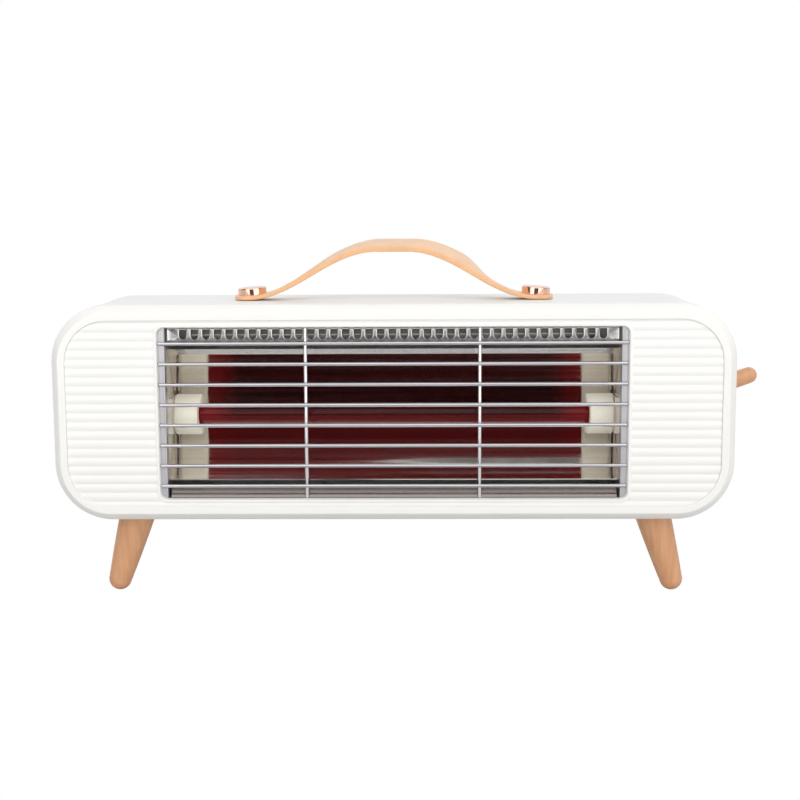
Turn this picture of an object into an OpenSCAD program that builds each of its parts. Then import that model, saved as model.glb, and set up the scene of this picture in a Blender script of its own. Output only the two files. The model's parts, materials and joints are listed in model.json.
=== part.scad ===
// Retro radiant heater: a white rounded case on four splayed wooden legs, with a leather
// carrying strap, a wooden lever switch, and a ruby quartz tube before a polished reflector
// behind a chrome wire guard. X runs across the case, Y from the front to the back, Z up.

/* [Case] */
// Width of the case across its sides
case_w = 380; // [376:1:400]
// Height of the case without its legs
case_h = 121.2; // [118:0.1:130]
// Depth from the front rim to the back wall
case_d = 90; // [88:1:100]
// Corner radius of the case, seen from the front
corner_r = 32; // [30:1:38]
// Thickness of the plastic walls
wall = 2.4; // [2:0.1:2.8]
// Depth of the front bezel, up to the joint line
bezel_d = 20; // [18:1:24]
// Width of the bezel's rim, seen from the front
rim_w = 8.4; // [8:0.1:9]
// Radius of the bezel's broad bevel between its side and its front
bevel_r = 27; // [20:0.5:28]
// Slope of the bevel where it leaves the side, in degrees
bevel_start = 30; // [26:1:32]
// Slope of the bevel where it meets the rim's edge, in degrees
bevel_end = 44; // [40:1:45]
// Step from the bezel down to the rear housing
housing_step = 0.6; // [0.4:0.1:1]
// Round on the back edge of the rear housing
back_r = 3; // [3:0.5:7]

/* [Ribbed panel] */
// Spacing of the horizontal ribs
rib_pitch = 5; // [4:0.25:7]
// Height of a rib's crest above the groove beside it
rib_rise = 0.8; // [0.4:0.1:1]
// Width of the window in the panel
window_w = 260.4; // [258:0.2:262]
// Height of the window in the panel
window_h = 96.8; // [96:0.2:98]
// Radius of the window's corners
window_r = 4; // [3:0.5:6]
// Height of the window's centre above the case's underside
window_rise = 60.8; // [60:0.1:61.5]

/* [Guard] */
// Diameter of the horizontal guard wires
bar_d = 2.1; // [1.8:0.1:2.4]
// Number of horizontal guard wires
bar_count = 8; // [6:1:8]
// Spacing of the horizontal guard wires
bar_pitch = 11.42; // [11:0.01:11.6]
// Height of the top guard wire above the window's centre
top_bar_rise = 39.6; // [39:0.1:40]
// Distance of each upright wire from the middle
upright_x = 48.2; // [40:0.1:55]
// Width of the flat plate at each end of the guard
guard_plate_w = 4; // [3:0.1:5]
// Number of slots in the vent strip
slot_count = 37; // [20:1:37]
// Spacing of the slots in the vent strip
slot_pitch = 6.45; // [6:0.01:6.5]
// Width of one slot
slot_w = 3.5; // [3:0.1:4]

/* [Heating] */
// Outer diameter of the quartz tube
tube_d = 11; // [10:0.1:12]
// Depth of the tube's axis behind the front
tube_y = 25; // [24.5:0.1:26]
// Height of the tube's axis above the case's underside
tube_rise = 57.2; // [56.5:0.1:58]
// Diameter of the ceramic end caps
cap_d = 23.1; // [22:0.1:24]
// Distance from the middle to the outer end of a cap
cap_end_x = 124.4; // [122:0.1:124.6]
// Length of a ceramic end cap
cap_len = 15.7; // [14:0.1:18]
// Distance from the tube's axis back to the reflector
focal_length = 12.7; // [12.3:0.1:13]
// Distance from the middle to each end of the reflector
reflector_end_x = 123; // [121:0.1:124]

/* [Legs] */
// Height of the case's underside above the floor
leg_h = 45.4; // [42:0.1:60]
// Diameter of a leg under the case
leg_top_d = 21.2; // [18:0.1:23]
// Diameter of a leg at its rounded foot
leg_foot_d = 13; // [12.2:0.1:14]
// Outward lean of the legs in degrees
leg_lean = 16.4; // [10:0.1:18]
// Distance from the middle to a front leg, under the case
front_leg_x = 147.8; // [140:0.1:150]
// Distance from the middle to a rear leg, under the case
rear_leg_x = 152; // [145:0.1:155]
// Depth of the front legs
front_leg_y = 25; // [23:0.5:30]
// Depth of the rear legs
rear_leg_y = 66; // [60:0.5:70]

/* [Handle] */
// Width of the leather strap
strap_w = 20; // [18:0.5:22]
// Thickness of the leather strap
strap_t = 2.3; // [2:0.1:3]
// Distance from the middle to each end of the strap
strap_end_x = 91.7; // [90:0.1:93]
// Rise of the strap's arch above the case
arch_h = 27.5; // [20:0.5:30]
// Distance from the middle to the foot of the arch, beside the bolt's head
arch_x = 73.6; // [72:0.1:73.7]
// Distance from the middle to where the arch levels off
arch_top_x = 14; // [10:1:20]
// Depth of the middle of the strap
strap_y = 49; // [45:0.5:52]
// Distance from the middle to each strap bolt
bolt_x = 81.9; // [81.8:0.1:82.5]
// Diameter of a strap bolt's head
bolt_head_d = 16.2; // [14:0.1:16.4]
// Height of a strap bolt's head
bolt_head_h = 5; // [4:0.1:6]

/* [Lever] */
// Diameter of the wooden lever where it leaves the case
lever_d = 9.9; // [9:0.1:10]
// Diameter of the lever at its round tip
lever_tip_d = 9.3; // [8:0.1:9.4]
// Upward slope of the lever at rest, in degrees
lever_slope = 19.3; // [18:0.1:20]
// Distance from the lever's pivot to the centre of its round tip
lever_len = 26.5; // [24:0.1:27]
// Height of the lever's pivot above the case's underside
lever_rise = 67.35; // [64:0.05:70]
// Depth of the lever behind the front
lever_y = 45; // [44:0.5:50]

/* [Hidden] */

eps = 0.01;
round_fn = 96;
fine_fn = 48;

// Heights above the floor
case_z = leg_h + case_h/2;
window_z = leg_h + window_rise;
tube_z = leg_h + tube_rise;
lever_z = leg_h + lever_rise;
window_top = window_z + window_h/2;
window_bottom = window_z - window_h/2;

// The panel and the ledge that holds it
panel_gap = 0.6;
panel_inset = rim_w + panel_gap;
panel_crest_y = 0.6;
panel_back_y = 3.4;
ledge_w = 2;
ledge_t = 2;
lip_w = 1.6;

// The rear housing
housing_t = 2.6;
housing_top = leg_h + case_h - housing_step;
housing_floor = leg_h + housing_step + housing_t;
housing_inner_x = case_w/2 - housing_step - housing_t;
back_plate_y = case_d - housing_t;
boss_reach = 16;
boss_d = 9;
screw_d = 3;
screw_hole_d = 3.4;
screw_head_d = 6;
well_d = 6.6;
well_floor_t = 4;

// Where the four case screws stand, seen from the front
screw_x = case_w/2 - corner_r + boss_reach*cos(45);
screw_z = case_h/2 - corner_r + boss_reach*sin(45);

// The heating cavity, from the guard back to the heat shield
guard_y = panel_crest_y + 0.2;
plate_y = guard_y + bar_d;
plate_t = 0.9;
upright_d = 2;
upright_y = plate_y + upright_d/2 + 0.1;
sheet_t = 0.6;
reflector_back_y = tube_y + focal_length;
reflector_top_y = 6.6;
reflector_bottom_y = 11.3;
cavity_x = 127.5;
cavity_t = 0.8;
shield_x = 134;
shield_y = 44;
shield_t = 0.8;
tube_wall = 1.2;
tube_in_cap = 8;
coil_d = 6;
coil_wall = 0.6;
coil_reach = 104;

// The bounding box's middle is the origin, so the case stands to the left of it
lever_tip_x = case_w/2 - 10 + lever_len*cos(lever_slope) + lever_tip_d/2;
lever_pivot_x = case_w/2 - 10;
bush_out = 2.5;
frame_x = (lever_tip_x - case_w/2)/2;
frame_y = (case_d + bush_out)/2;

// ---- Shared shapes ----

module placed() {
    translate([-frame_x, -frame_y, 0]) children();
}

module both_sides() {
    children();
    mirror([1, 0, 0]) children();
}

module left_side() {
    mirror([1, 0, 0]) children();
}

// An outline seen from the front, made solid from depth y0 back to y1
module from_front(y0, y1) {
    translate([0, y1, 0]) rotate([90, 0, 0]) linear_extrude(y1 - y0) children();
}

module round_y(x, z, y0, y1, d, fn = fine_fn) {
    translate([x, y0, z]) rotate([-90, 0, 0]) cylinder(d = d, h = y1 - y0, $fn = fn);
}

module round_x(x0, x1, y, z, d, fn = fine_fn) {
    translate([x0, y, z]) rotate([0, 90, 0]) cylinder(d = d, h = x1 - x0, $fn = fn);
}

module block(x0, x1, y0, y1, z0, z1) {
    translate([x0, y0, z0]) cube([x1 - x0, y1 - y0, z1 - z0]);
}

module rounded_rect(w, h, r) {
    square([w - 2*r, h], center = true);
    square([w, h - 2*r], center = true);
    for (sx = [-1, 1], sz = [-1, 1])
        translate([sx*(w/2 - r), sz*(h/2 - r)]) circle(r, $fn = round_fn);
}

// The case's outline moved inwards
module case_outline(inset) {
    translate([0, case_z]) rounded_rect(case_w - 2*inset, case_h - 2*inset, corner_r - inset);
}

module window_outline(inset) {
    translate([0, window_z]) rounded_rect(window_w - 2*inset, window_h - 2*inset, window_r);
}

// Carries a profile of [distance inwards from the case's outline, depth] round the case
module round_the_case(profile) {
    section = [for (p = profile) [corner_r - p[0], p[1]]];
    cx = case_w/2 - corner_r;
    cz = case_h/2 - corner_r;
    translate([0, 0, case_z]) {
        for (k = [0:3])
            translate([(k == 0 || k == 3 ? 1 : -1)*cx, 0, (k < 2 ? -1 : 1)*cz])
                rotate([-90, 0, 0]) rotate([0, 0, 90*k])
                    rotate_extrude(angle = 90, $fn = round_fn) polygon(section);
        both_sides() translate([cx, 0, -cz]) linear_extrude(2*cz) polygon(section);
        translate([cx, 0, cz]) rotate([0, -90, 0]) linear_extrude(2*cx) polygon(section);
        translate([-cx, 0, -cz]) rotate([0, 90, 0]) linear_extrude(2*cx) polygon(section);
    }
}

// Points on an arc of radius r about c, from angle a0 to a1
function arc(c, r, a0, a1, steps) =
    [for (i = [0:steps]) let (a = a0 + (a1 - a0)*i/steps) c + r*[cos(a), sin(a)]];

module at_case_screws() {
    for (sx = [-1, 1], sz = [-1, 1]) translate([sx*screw_x, 0, case_z + sz*screw_z]) children();
}

// A wire swept through points, with flat ends
function unit(v) = v/norm(v);
function heading(path, i) =
    unit(path[min(i + 1, len(path) - 1)] - path[max(i - 1, 0)]);
function ring(path, i, d, sides) =
    let (t = heading(path, i),
         ref = abs(t[2]) > 0.9 ? [1, 0, 0] : [0, 0, 1],
         u = unit(cross(t, ref)),
         v = cross(t, u))
    [for (k = [0:sides - 1]) path[i] + d/2*(cos(360*k/sides)*u + sin(360*k/sides)*v)];

// Rounds a route's corners by cutting each one into three
function eased(path) = concat(
    [path[0]],
    [for (i = [1:len(path) - 2])
        each [path[i] + 0.28*(path[i - 1] - path[i]),
              path[i] + 0.08*(path[i - 1] + path[i + 1] - 2*path[i]),
              path[i] + 0.28*(path[i + 1] - path[i])]],
    [path[len(path) - 1]]
);

module wire(route, d, sides = 8) {
    path = eased(route);
    count = len(path);
    points = [for (i = [0:count - 1]) each ring(path, i, d, sides)];
    sleeves = [for (i = [0:count - 2], k = [0:sides - 1])
        [i*sides + k, i*sides + (k + 1)%sides, (i + 1)*sides + (k + 1)%sides, (i + 1)*sides + k]];
    near_end = [for (k = [0:sides - 1]) sides - 1 - k];
    far_end = [for (k = [0:sides - 1]) (count - 1)*sides + k];
    polyhedron(points, concat([near_end], sleeves, [far_end]));
}

// ---- Case ----

// A channel section: side, broad bevel, soft-edged rim, and an inner ledge for the panel
rim_edge_r = 0.7;
side_edge_r = 3;
bevel_x = side_edge_r*(1 - cos(bevel_start));
bevel_w = bevel_r*(cos(bevel_start) - cos(bevel_end));
bevel_d = bevel_r*(sin(bevel_end) - sin(bevel_start));
rim_edge_y = rim_edge_r*(1 - sin(bevel_end));
side_y = rim_edge_y + bevel_d + side_edge_r*sin(bevel_start);
function bezel_section() = concat(
    [[0, bezel_d]],
    arc([side_edge_r, side_y], side_edge_r, 180, 180 + bevel_start, 4),
    arc([bevel_x + bevel_r*cos(bevel_start), rim_edge_y + bevel_d + bevel_r*sin(bevel_start)],
        bevel_r, 182 + bevel_start, 180 + bevel_end, 6),
    arc([bevel_x + bevel_w + rim_edge_r*cos(bevel_end), rim_edge_r], rim_edge_r, 190 + bevel_end, 270, 4),
    [[rim_w, 0], [rim_w, panel_back_y], [rim_w + ledge_w, panel_back_y],
     [rim_w + ledge_w, panel_back_y + ledge_t], [rim_w - wall, panel_back_y + ledge_t]],
    [[rim_w - wall, wall], [bevel_x + bevel_w + 1.4, wall], [wall, side_y], [wall, bezel_d]]
);

// A post for each case screw stands behind the ledge on a web that reaches the side wall
module front_bezel() {
    post_d = boss_d - 1;
    post_y = panel_back_y + 0.3;
    web_t = ledge_t - 0.6;
    web_w = post_d - 2;
    web_reach = 13;
    color("ivory") difference() {
        union() {
            round_the_case(bezel_section());
            at_case_screws() round_y(0, 0, post_y, bezel_d, post_d);
            both_sides() for (s = [-1, 1])
                translate([screw_x, post_y, case_z + s*screw_z])
                    rotate([0, -45*s, 0]) translate([0, 0, -web_w/2]) cube([web_reach, web_t, web_w]);
        }
        at_case_screws() round_y(0, 0, post_y + web_t, bezel_d + 1, screw_d - 0.4);
    }
}

// Crests and grooves of the ribbed face, as [depth, height] from the bottom up
function rib_face(z0, count) =
    [for (i = [0:count - 1], k = [0:6])
        let (t = -1 + 2*k/6) [panel_crest_y + rib_rise*t*t, z0 + rib_pitch*(i + 0.5 + 0.46*t)]];

module front_panel() {
    panel_h = case_h - 2*panel_inset;
    rib_count = ceil(panel_h/rib_pitch) + 1;
    z0 = case_z + panel_h/2 - (rib_count + 0.07)*rib_pitch;
    ribs = rib_face(z0, rib_count);
    color("ivory") difference() {
        union() {
            intersection() {
                rotate([90, 0, 90]) translate([0, 0, -case_w/2]) linear_extrude(case_w)
                    polygon(concat([[panel_back_y, z0]], ribs, [[panel_back_y, z0 + rib_count*rib_pitch]]));
                from_front(0, panel_back_y) case_outline(panel_inset);
            }
            from_front(panel_crest_y - 0.2, panel_back_y) window_outline(-lip_w);
            at_shield_screws() round_y(0, 0, panel_back_y - 0.5, shield_ear_y, 7);
        }
        from_front(-1, panel_back_y + 1) window_outline(0);
        at_shield_screws() round_y(0, 0, panel_back_y, shield_ear_y + 1, 2.4);
    }
}

// The wall starts with a tongue inside the bezel and ends in a rounded back edge
tongue_y = bezel_d - 4;
tongue_gap = 0.2;
function housing_section() = concat(
    [[wall + tongue_gap, bezel_d], [wall + tongue_gap, tongue_y],
     [housing_step + housing_t + 1, tongue_y], [housing_step + housing_t + 1, bezel_d + 4],
     [housing_step + housing_t, bezel_d + 6]],
    arc([housing_step + back_r, case_d - back_r], back_r - housing_t, 180, 90, 6),
    [[housing_step + back_r + 2, case_d - housing_t], [housing_step + back_r + 2, case_d]],
    arc([housing_step + back_r, case_d - back_r], back_r, 90, 180, 10),
    [[housing_step, bezel_d]]
);

vent_w = 3.2;
vent_h = 20;
vent_pitch = 8;
vent_count = 27;
vent_row_z = [30, -30];

// Upright slots with round ends, in two rows across the back wall
module vent_slots() {
    for (row = vent_row_z, i = [0:vent_count - 1])
        translate([(i - (vent_count - 1)/2)*vent_pitch, case_z + row]) {
            square([vent_w, vent_h - vent_w], center = true);
            for (s = [-1, 1]) translate([0, s*(vent_h - vent_w)/2]) circle(d = vent_w, $fn = 24);
        }
}

// The slot in the right wall that the lever swings in
slot_half_w = lever_d/2 + 0.6;
slot_half_h = lever_d/2 + 4.6;
module lever_slot(x0, x1, grow) {
    for (s = [-1, 1])
        round_x(x0, x1, lever_y, lever_z + s*(slot_half_h - slot_half_w), 2*(slot_half_w + grow));
    block(x0, x1, lever_y - slot_half_w - grow, lever_y + slot_half_w + grow,
        lever_z - slot_half_h + slot_half_w, lever_z + slot_half_h - slot_half_w);
}

inlet_x = -118;
inlet_z = leg_h + 20.6;
inlet_hole_d = 12;

module rear_housing() {
    color("whitesmoke") difference() {
        union() {
            round_the_case(housing_section());
            from_front(back_plate_y, case_d) case_outline(housing_step + back_r + 1);
            at_case_screws() round_y(0, 0, bezel_d, case_d - 1, boss_d);
        }
        at_case_screws() {
            round_y(0, 0, bezel_d - 1, case_d + 1, screw_hole_d);
            round_y(0, 0, bezel_d + well_floor_t, case_d + 1, well_d);
        }
        from_front(back_plate_y - 1, case_d + 1) vent_slots();
        lever_slot(housing_inner_x - 3, case_w/2 + 1, 0.8);
        round_y(inlet_x, inlet_z, back_plate_y - 1, case_d + 1, inlet_hole_d);
        both_sides() translate([bolt_x, strap_y, housing_top - housing_t - 2])
            cylinder(d = bolt_shank_d + 0.4, h = housing_t + 3, $fn = fine_fn);
        at_legs() leg_axis() translate([0, 0, -6]) cylinder(d = stud_d + 0.3, h = 20, $fn = fine_fn);
    }
}

module case_screws() {
    color("silver") at_case_screws() difference() {
        union() {
            round_y(0, 0, panel_back_y + ledge_t + 3, bezel_d + well_floor_t, screw_d - 0.4);
            round_y(0, 0, bezel_d + well_floor_t, bezel_d + well_floor_t + 2.2, screw_head_d);
        }
        for (turn = [0, 90]) translate([0, bezel_d + well_floor_t + 2.2, 0]) rotate([0, turn, 0])
            cube([3.2, 2.4, 0.8], center = true);
    }
}

// ---- Guard ----

module guard_plate() {
    outer_x = window_w/2 - 0.2;
    inner_x = outer_x - guard_plate_w;
    flange_d = 5;
    flange_h = window_h - 1;
    color("silver") union() {
        intersection() {
            from_front(plate_y, plate_y + plate_t) window_outline(0.2);
            block(inner_x, outer_x + 1, 0, 10, window_bottom, window_top);
        }
        block(inner_x, inner_x + plate_t, plate_y, plate_y + flange_d,
            window_z - flange_h/2, window_z + flange_h/2);
    }
}
module guard_plate_left() { left_side() guard_plate(); }
module guard_plate_right() { guard_plate(); }

// The wires end on the two plates, a little short of the window's edge
module guard_bar(i) {
    half = window_w/2 - 0.5;
    color("gainsboro")
        round_x(-half, half, guard_y + bar_d/2, window_z + top_bar_rise - (i - 1)*bar_pitch, bar_d, 32);
}

module guard_upright() {
    color("gainsboro") translate([upright_x, upright_y, window_bottom + 0.6])
        cylinder(d = upright_d, h = window_h - 1.2, $fn = 32);
}
module guard_upright_left() { left_side() guard_upright(); }
module guard_upright_right() { guard_upright(); }

// A chrome strip over the top wire, with a row of slots round at the bottom
vent_strip_y = upright_y + upright_d/2 + 0.3;
vent_strip_bottom = window_z + top_bar_rise + 0.4;
vent_strip_x = window_w/2 - guard_plate_w - 1.4;
module vent_strip() {
    slot_bottom = vent_strip_bottom + 1.3;
    strip_top = window_top - 0.5;
    slot_top = strip_top - 1;
    roof_d = 4;
    x = vent_strip_x;
    color("silver") difference() {
        union() {
            block(-x, x, vent_strip_y, vent_strip_y + sheet_t, vent_strip_bottom, strip_top);
            block(-x, x, vent_strip_y, vent_strip_y + roof_d, strip_top - sheet_t, strip_top);
        }
        from_front(vent_strip_y - 1, vent_strip_y + 1)
            for (i = [0:slot_count - 1]) translate([(i - (slot_count - 1)/2)*slot_pitch, 0]) {
                translate([-slot_w/2, slot_bottom + slot_w/2]) square([slot_w, slot_top - slot_bottom - slot_w/2]);
                translate([0, slot_bottom + slot_w/2]) circle(d = slot_w, $fn = 24);
            }
    }
}

// The lower edge of the reflector rolled forward into a hollow bullnose
lip_r = 3.4;
lip_y = 8.6;
lip_z = window_bottom + 0.5 + lip_r;
module bottom_lip() {
    half = window_w/2 - guard_plate_w - 1.4;
    roll = concat(
        arc([lip_y, lip_z], lip_r, 90, 300, 21),
        arc([lip_y, lip_z], lip_r - sheet_t, 300, 90, 21));
    color("silver") rotate([90, 0, 90]) translate([0, 0, -half]) linear_extrude(2*half) polygon(roll);
}

// ---- Heating ----

// Height above the tube's axis of the mirror at depth y
function mirror_height(y) = sqrt(4*focal_length*(reflector_back_y - y));
reflector_steps = 48;
function mirror_point(t, gap) =
    let (s = -mirror_height(reflector_bottom_y)
             + t*(mirror_height(reflector_top_y) + mirror_height(reflector_bottom_y)),
         y = reflector_back_y - s*s/(4*focal_length),
         n = unit([1, s/(2*focal_length)]))
    [y + gap*n[0], tube_z + s + gap*n[1]];

module reflector() {
    front = [for (i = [0:reflector_steps]) mirror_point(i/reflector_steps, 0)];
    back = [for (i = [reflector_steps - 1:-1:0]) mirror_point(i/reflector_steps, sheet_t)];
    flange_top = window_top - 4.2;
    flange = [[reflector_top_y, flange_top], [reflector_top_y + sheet_t, flange_top]];
    color("lightgray") rotate([90, 0, 90]) translate([0, 0, -reflector_end_x])
        linear_extrude(2*reflector_end_x) polygon(concat(front, flange, back));
}

module cavity_side() {
    front_y = plate_y + plate_t + 1;
    color("darkgray") difference() {
        block(cavity_x, cavity_x + cavity_t, front_y, shield_y - 0.2, window_bottom + 0.5, window_top - 0.5);
        round_x(cavity_x - 1, cavity_x + 2, tube_y, tube_z, 8);
    }
}
module cavity_side_left() { left_side() cavity_side(); }
module cavity_side_right() { cavity_side(); }

shield_bottom = window_bottom - 0.4;
shield_top = window_top + 0.4;
shield_ear_y = 12;
ear_x = shield_x + 5.5;
ear_z = shield_top - 10;
module at_shield_screws() {
    for (sx = [-1, 1], z = [ear_z, 2*window_z - ear_z]) translate([sx*ear_x, 0, z]) children();
}

// A tray behind the reflector, open to the front, with four screw ears
module heat_shield() {
    front_y = panel_back_y + 0.6;
    color("silver") difference() {
        union() {
            block(-shield_x, shield_x, shield_y, shield_y + shield_t, shield_bottom, shield_top);
            for (z = [shield_bottom, shield_top - shield_t])
                block(-shield_x, shield_x, front_y, shield_y + shield_t, z, z + shield_t);
            both_sides() {
                block(shield_x - shield_t, shield_x, front_y, shield_y + shield_t, shield_bottom, shield_top);
                for (z = [ear_z, 2*window_z - ear_z])
                    block(shield_x - shield_t, ear_x + 5, shield_ear_y, shield_ear_y + shield_t, z - 5, z + 5);
            }
        }
        at_shield_screws() round_y(0, 0, shield_ear_y - 1, shield_ear_y + 2, 3.2);
        both_sides() round_x(shield_x - 2, shield_x + 1, tube_y + 8, tube_z, 8);
    }
}

module shield_screws() {
    color("silver") at_shield_screws() {
        round_y(0, 0, panel_back_y + 1, shield_ear_y + shield_t, 2.4);
        round_y(0, 0, shield_ear_y + shield_t, shield_ear_y + shield_t + 2, 5.5);
    }
}

module quartz_tube() {
    half = cap_end_x - cap_len + tube_in_cap;
    color("darkred") difference() {
        round_x(-half, half, tube_y, tube_z, tube_d);
        round_x(-half - 1, half + 1, tube_y, tube_z, tube_d - 2*tube_wall);
    }
}

// The coil's envelope, with a straight tail at each end
module heating_coil() {
    tail_d = 1.2;
    color("dimgray") difference() {
        union() {
            round_x(-coil_reach, coil_reach, tube_y, tube_z, coil_d);
            round_x(-cap_end_x + 3, cap_end_x - 3, tube_y, tube_z, tail_d, 24);
        }
        round_x(-coil_reach + 1, coil_reach - 1, tube_y, tube_z, coil_d - 2*coil_wall);
    }
}

module ceramic_cap() {
    edge = 1.6;
    r = cap_d/2;
    socket_r = tube_d/2 + 0.1;
    wire_r = 2;
    outline = concat(
        [[socket_r, 0]],
        arc([r - edge, edge], edge, 270, 360, 6),
        arc([r - edge, cap_len - edge], edge, 0, 90, 6),
        [[wire_r, cap_len], [wire_r, tube_in_cap + 0.2], [socket_r, tube_in_cap + 0.2]]);
    color("ivory") translate([cap_end_x - cap_len, tube_y, tube_z]) rotate([0, 90, 0])
        rotate_extrude($fn = round_fn) polygon(outline);
}
module ceramic_cap_left() { left_side() ceramic_cap(); }
module ceramic_cap_right() { ceramic_cap(); }

// A steel angle between the cap's outer end and the cavity's side
module cap_bracket() {
    half_h = 10.2;
    x0 = cap_end_x + 0.05;
    y0 = tube_y - 9;
    y1 = tube_y + 9;
    color("linen") difference() {
        union() {
            block(x0, x0 + shield_t, y0, y1, tube_z - half_h, tube_z + half_h);
            block(x0, cavity_x, y0, y0 + shield_t, tube_z - half_h, tube_z + half_h);
            block(cavity_x - shield_t, cavity_x, y0, y1, tube_z - half_h, tube_z + half_h);
        }
        round_x(x0 - 1, cavity_x + 1, tube_y, tube_z, 5);
    }
}
module cap_bracket_left() { left_side() cap_bracket(); }
module cap_bracket_right() { cap_bracket(); }

// A bimetal disc cut-out on the back of the heat shield
cutout_x = 60;
module thermal_cutout() {
    y = shield_y + shield_t;
    color("tan") {
        round_y(cutout_x, tube_z, y, y + 1, 22);
        round_y(cutout_x, tube_z, y + 1, y + 8, 16);
        block(cutout_x - 12, cutout_x + 12, y + 8 - eps, y + 9, tube_z - 3, tube_z + 3);
    }
}

block_x = -60;
block_z = leg_h + 18.6;
module terminal_block() {
    ways = 3;
    way_w = 11;
    y = shield_y + 18;
    color("white") difference() {
        union() {
            block(block_x, block_x + ways*way_w, y, y + 18, housing_floor, block_z + 4);
            for (i = [0:ways - 1])
                translate([block_x + (i + 0.5)*way_w, y + 9, block_z + 4 - eps])
                    cylinder(d = 7.5, h = 4, $fn = fine_fn);
        }
        for (i = [0:ways - 1]) {
            round_y(block_x + (i + 0.5)*way_w, block_z, y - 1, y + 19, 4.5);
            translate([block_x + (i + 0.5)*way_w, y + 9, block_z]) cylinder(d = 3.8, h = 10, $fn = fine_fn);
        }
    }
}

// ---- Lever switch ----

switch_back_x = lever_pivot_x - 28;
switch_face_x = lever_pivot_x - 8;
module switch_body() {
    half_w = 8;
    half_h = 10;
    tab_h = 1.2;
    color("dimgray") {
        block(switch_back_x, switch_face_x, lever_y - half_w, lever_y + half_w, lever_z - half_h, lever_z + half_h);
        for (s = [-1, 0, 1])
            block(switch_back_x - 7, switch_back_x + eps, lever_y - 3, lever_y + 3,
                lever_z + s*7 - tab_h/2, lever_z + s*7 + tab_h/2);
    }
}

// A threaded bush on the switch, with a wide mouth for the arm
bush_r = 9;
module switch_bush() {
    collar_x = housing_inner_x - 3.2;
    color("silver") difference() {
        union() {
            round_x(switch_face_x, collar_x, lever_y, lever_z, 2*bush_r);
            round_x(switch_face_x, switch_face_x + 2, lever_y, lever_z, 2*bush_r + 4, 6);
        }
        round_x(switch_face_x + 2, collar_x + 1, lever_y, lever_z, 2*bush_r - 3);
        round_y(lever_pivot_x, lever_z, lever_y - bush_r - 1, lever_y + bush_r + 1, pivot_d);
    }
}

// The oval collar that lines the slot in the side wall
module switch_collar() {
    color("ivory") difference() {
        union() {
            lever_slot(housing_inner_x - 0.6, case_w/2 - housing_step + 0.6, 0.75);
            lever_slot(case_w/2 - housing_step, case_w/2 - housing_step + 1.4, 3);
        }
        lever_slot(housing_inner_x - 2, case_w/2 + 3, 0);
    }
}

// Places a shape, drawn along +X from the pivot, along the lever
module along_lever() {
    translate([lever_pivot_x, lever_y, lever_z]) rotate([0, -lever_slope, 0]) children();
}

pivot_d = 3;
hub_d = 7;
arm_d = 4;
peg_start = 5.5;
peg_bore = 12;
module toggle_arm() {
    color("silver") along_lever() {
        rotate([90, 0, 0]) cylinder(d = hub_d, h = 9, center = true, $fn = fine_fn);
        rotate([90, 0, 0]) cylinder(d = pivot_d - 0.1, h = 2*bush_r - 1, center = true, $fn = fine_fn);
        round_x(0, peg_start + peg_bore - 0.5, 0, 0, arm_d);
    }
}

module lever_peg() {
    r0 = lever_d/2;
    r1 = lever_tip_d/2;
    outline = concat([[0, peg_start], [r0 - 0.6, peg_start], [r0, peg_start + 0.6]],
        arc([0, lever_len], r1, 0, 90, 12));
    color("burlywood") along_lever() rotate([0, 90, 0]) difference() {
        rotate_extrude($fn = round_fn) polygon(outline);
        translate([0, 0, peg_start - 1]) cylinder(d = arm_d, h = peg_bore + 1, $fn = fine_fn);
    }
}

// ---- Tip-over switch: a hanging weight that opens a microswitch when the heater tips ----

tip_x = -146;
tip_y = 62;
tip_pivot_z = leg_h + 88.6;
tip_weight_r = 8;
tip_drop = 30;
module tip_switch_bracket() {
    foot_z = housing_floor;
    color("silver") difference() {
        union() {
            for (s = [-1, 1])
                block(tip_x + s*6 - 0.6, tip_x + s*6 + 0.6, tip_y - 8, tip_y + 8, tip_pivot_z - 8, tip_pivot_z + 6);
            block(tip_x - 6.6, tip_x + 6.6, tip_y - 8, tip_y + 8, tip_pivot_z + 6 - eps, tip_pivot_z + 7.2);
            block(tip_x - 6.6, tip_x - 5.4, tip_y + 8 - eps, back_plate_y, tip_pivot_z - 8, tip_pivot_z + 6);
            block(tip_x - 14, tip_x - 5.4, back_plate_y - 1.2, back_plate_y, tip_pivot_z - 8, tip_pivot_z + 6);
        }
        round_x(tip_x - 9, tip_x + 9, tip_y, tip_pivot_z, pivot_d);
    }
}

module tip_microswitch() {
    top = tip_pivot_z + 7.2;
    color("dimgray") {
        block(tip_x - 5, tip_x + 5, tip_y - 10, tip_y + 10, top, top + 10);
        for (s = [-1, 0, 1]) block(tip_x - 1.6, tip_x + 1.6, tip_y + s*7 - 0.4, tip_y + s*7 + 0.4, top + 10 - eps, top + 15);
    }
}

module tip_pivot_pin() {
    color("silver") {
        round_x(tip_x - 8.5, tip_x + 8.5, tip_y, tip_pivot_z, pivot_d);
        for (s = [-1, 1]) round_x(tip_x + s*8 - 0.7, tip_x + s*8 + 0.7, tip_y, tip_pivot_z, pivot_d + 2);
    }
}

module tip_weight() {
    color("gray") difference() {
        union() {
            round_x(tip_x - 3, tip_x + 3, tip_y, tip_pivot_z, 8);
            block(tip_x - 1.5, tip_x + 1.5, tip_y - 2.5, tip_y + 2.5, tip_pivot_z - tip_drop, tip_pivot_z);
            translate([tip_x, tip_y, tip_pivot_z - tip_drop - 12]) cylinder(r = tip_weight_r, h = 14, $fn = fine_fn);
        }
        round_x(tip_x - 5, tip_x + 5, tip_y, tip_pivot_z, pivot_d + 0.1);
    }
}

// ---- Wiring ----

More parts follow.
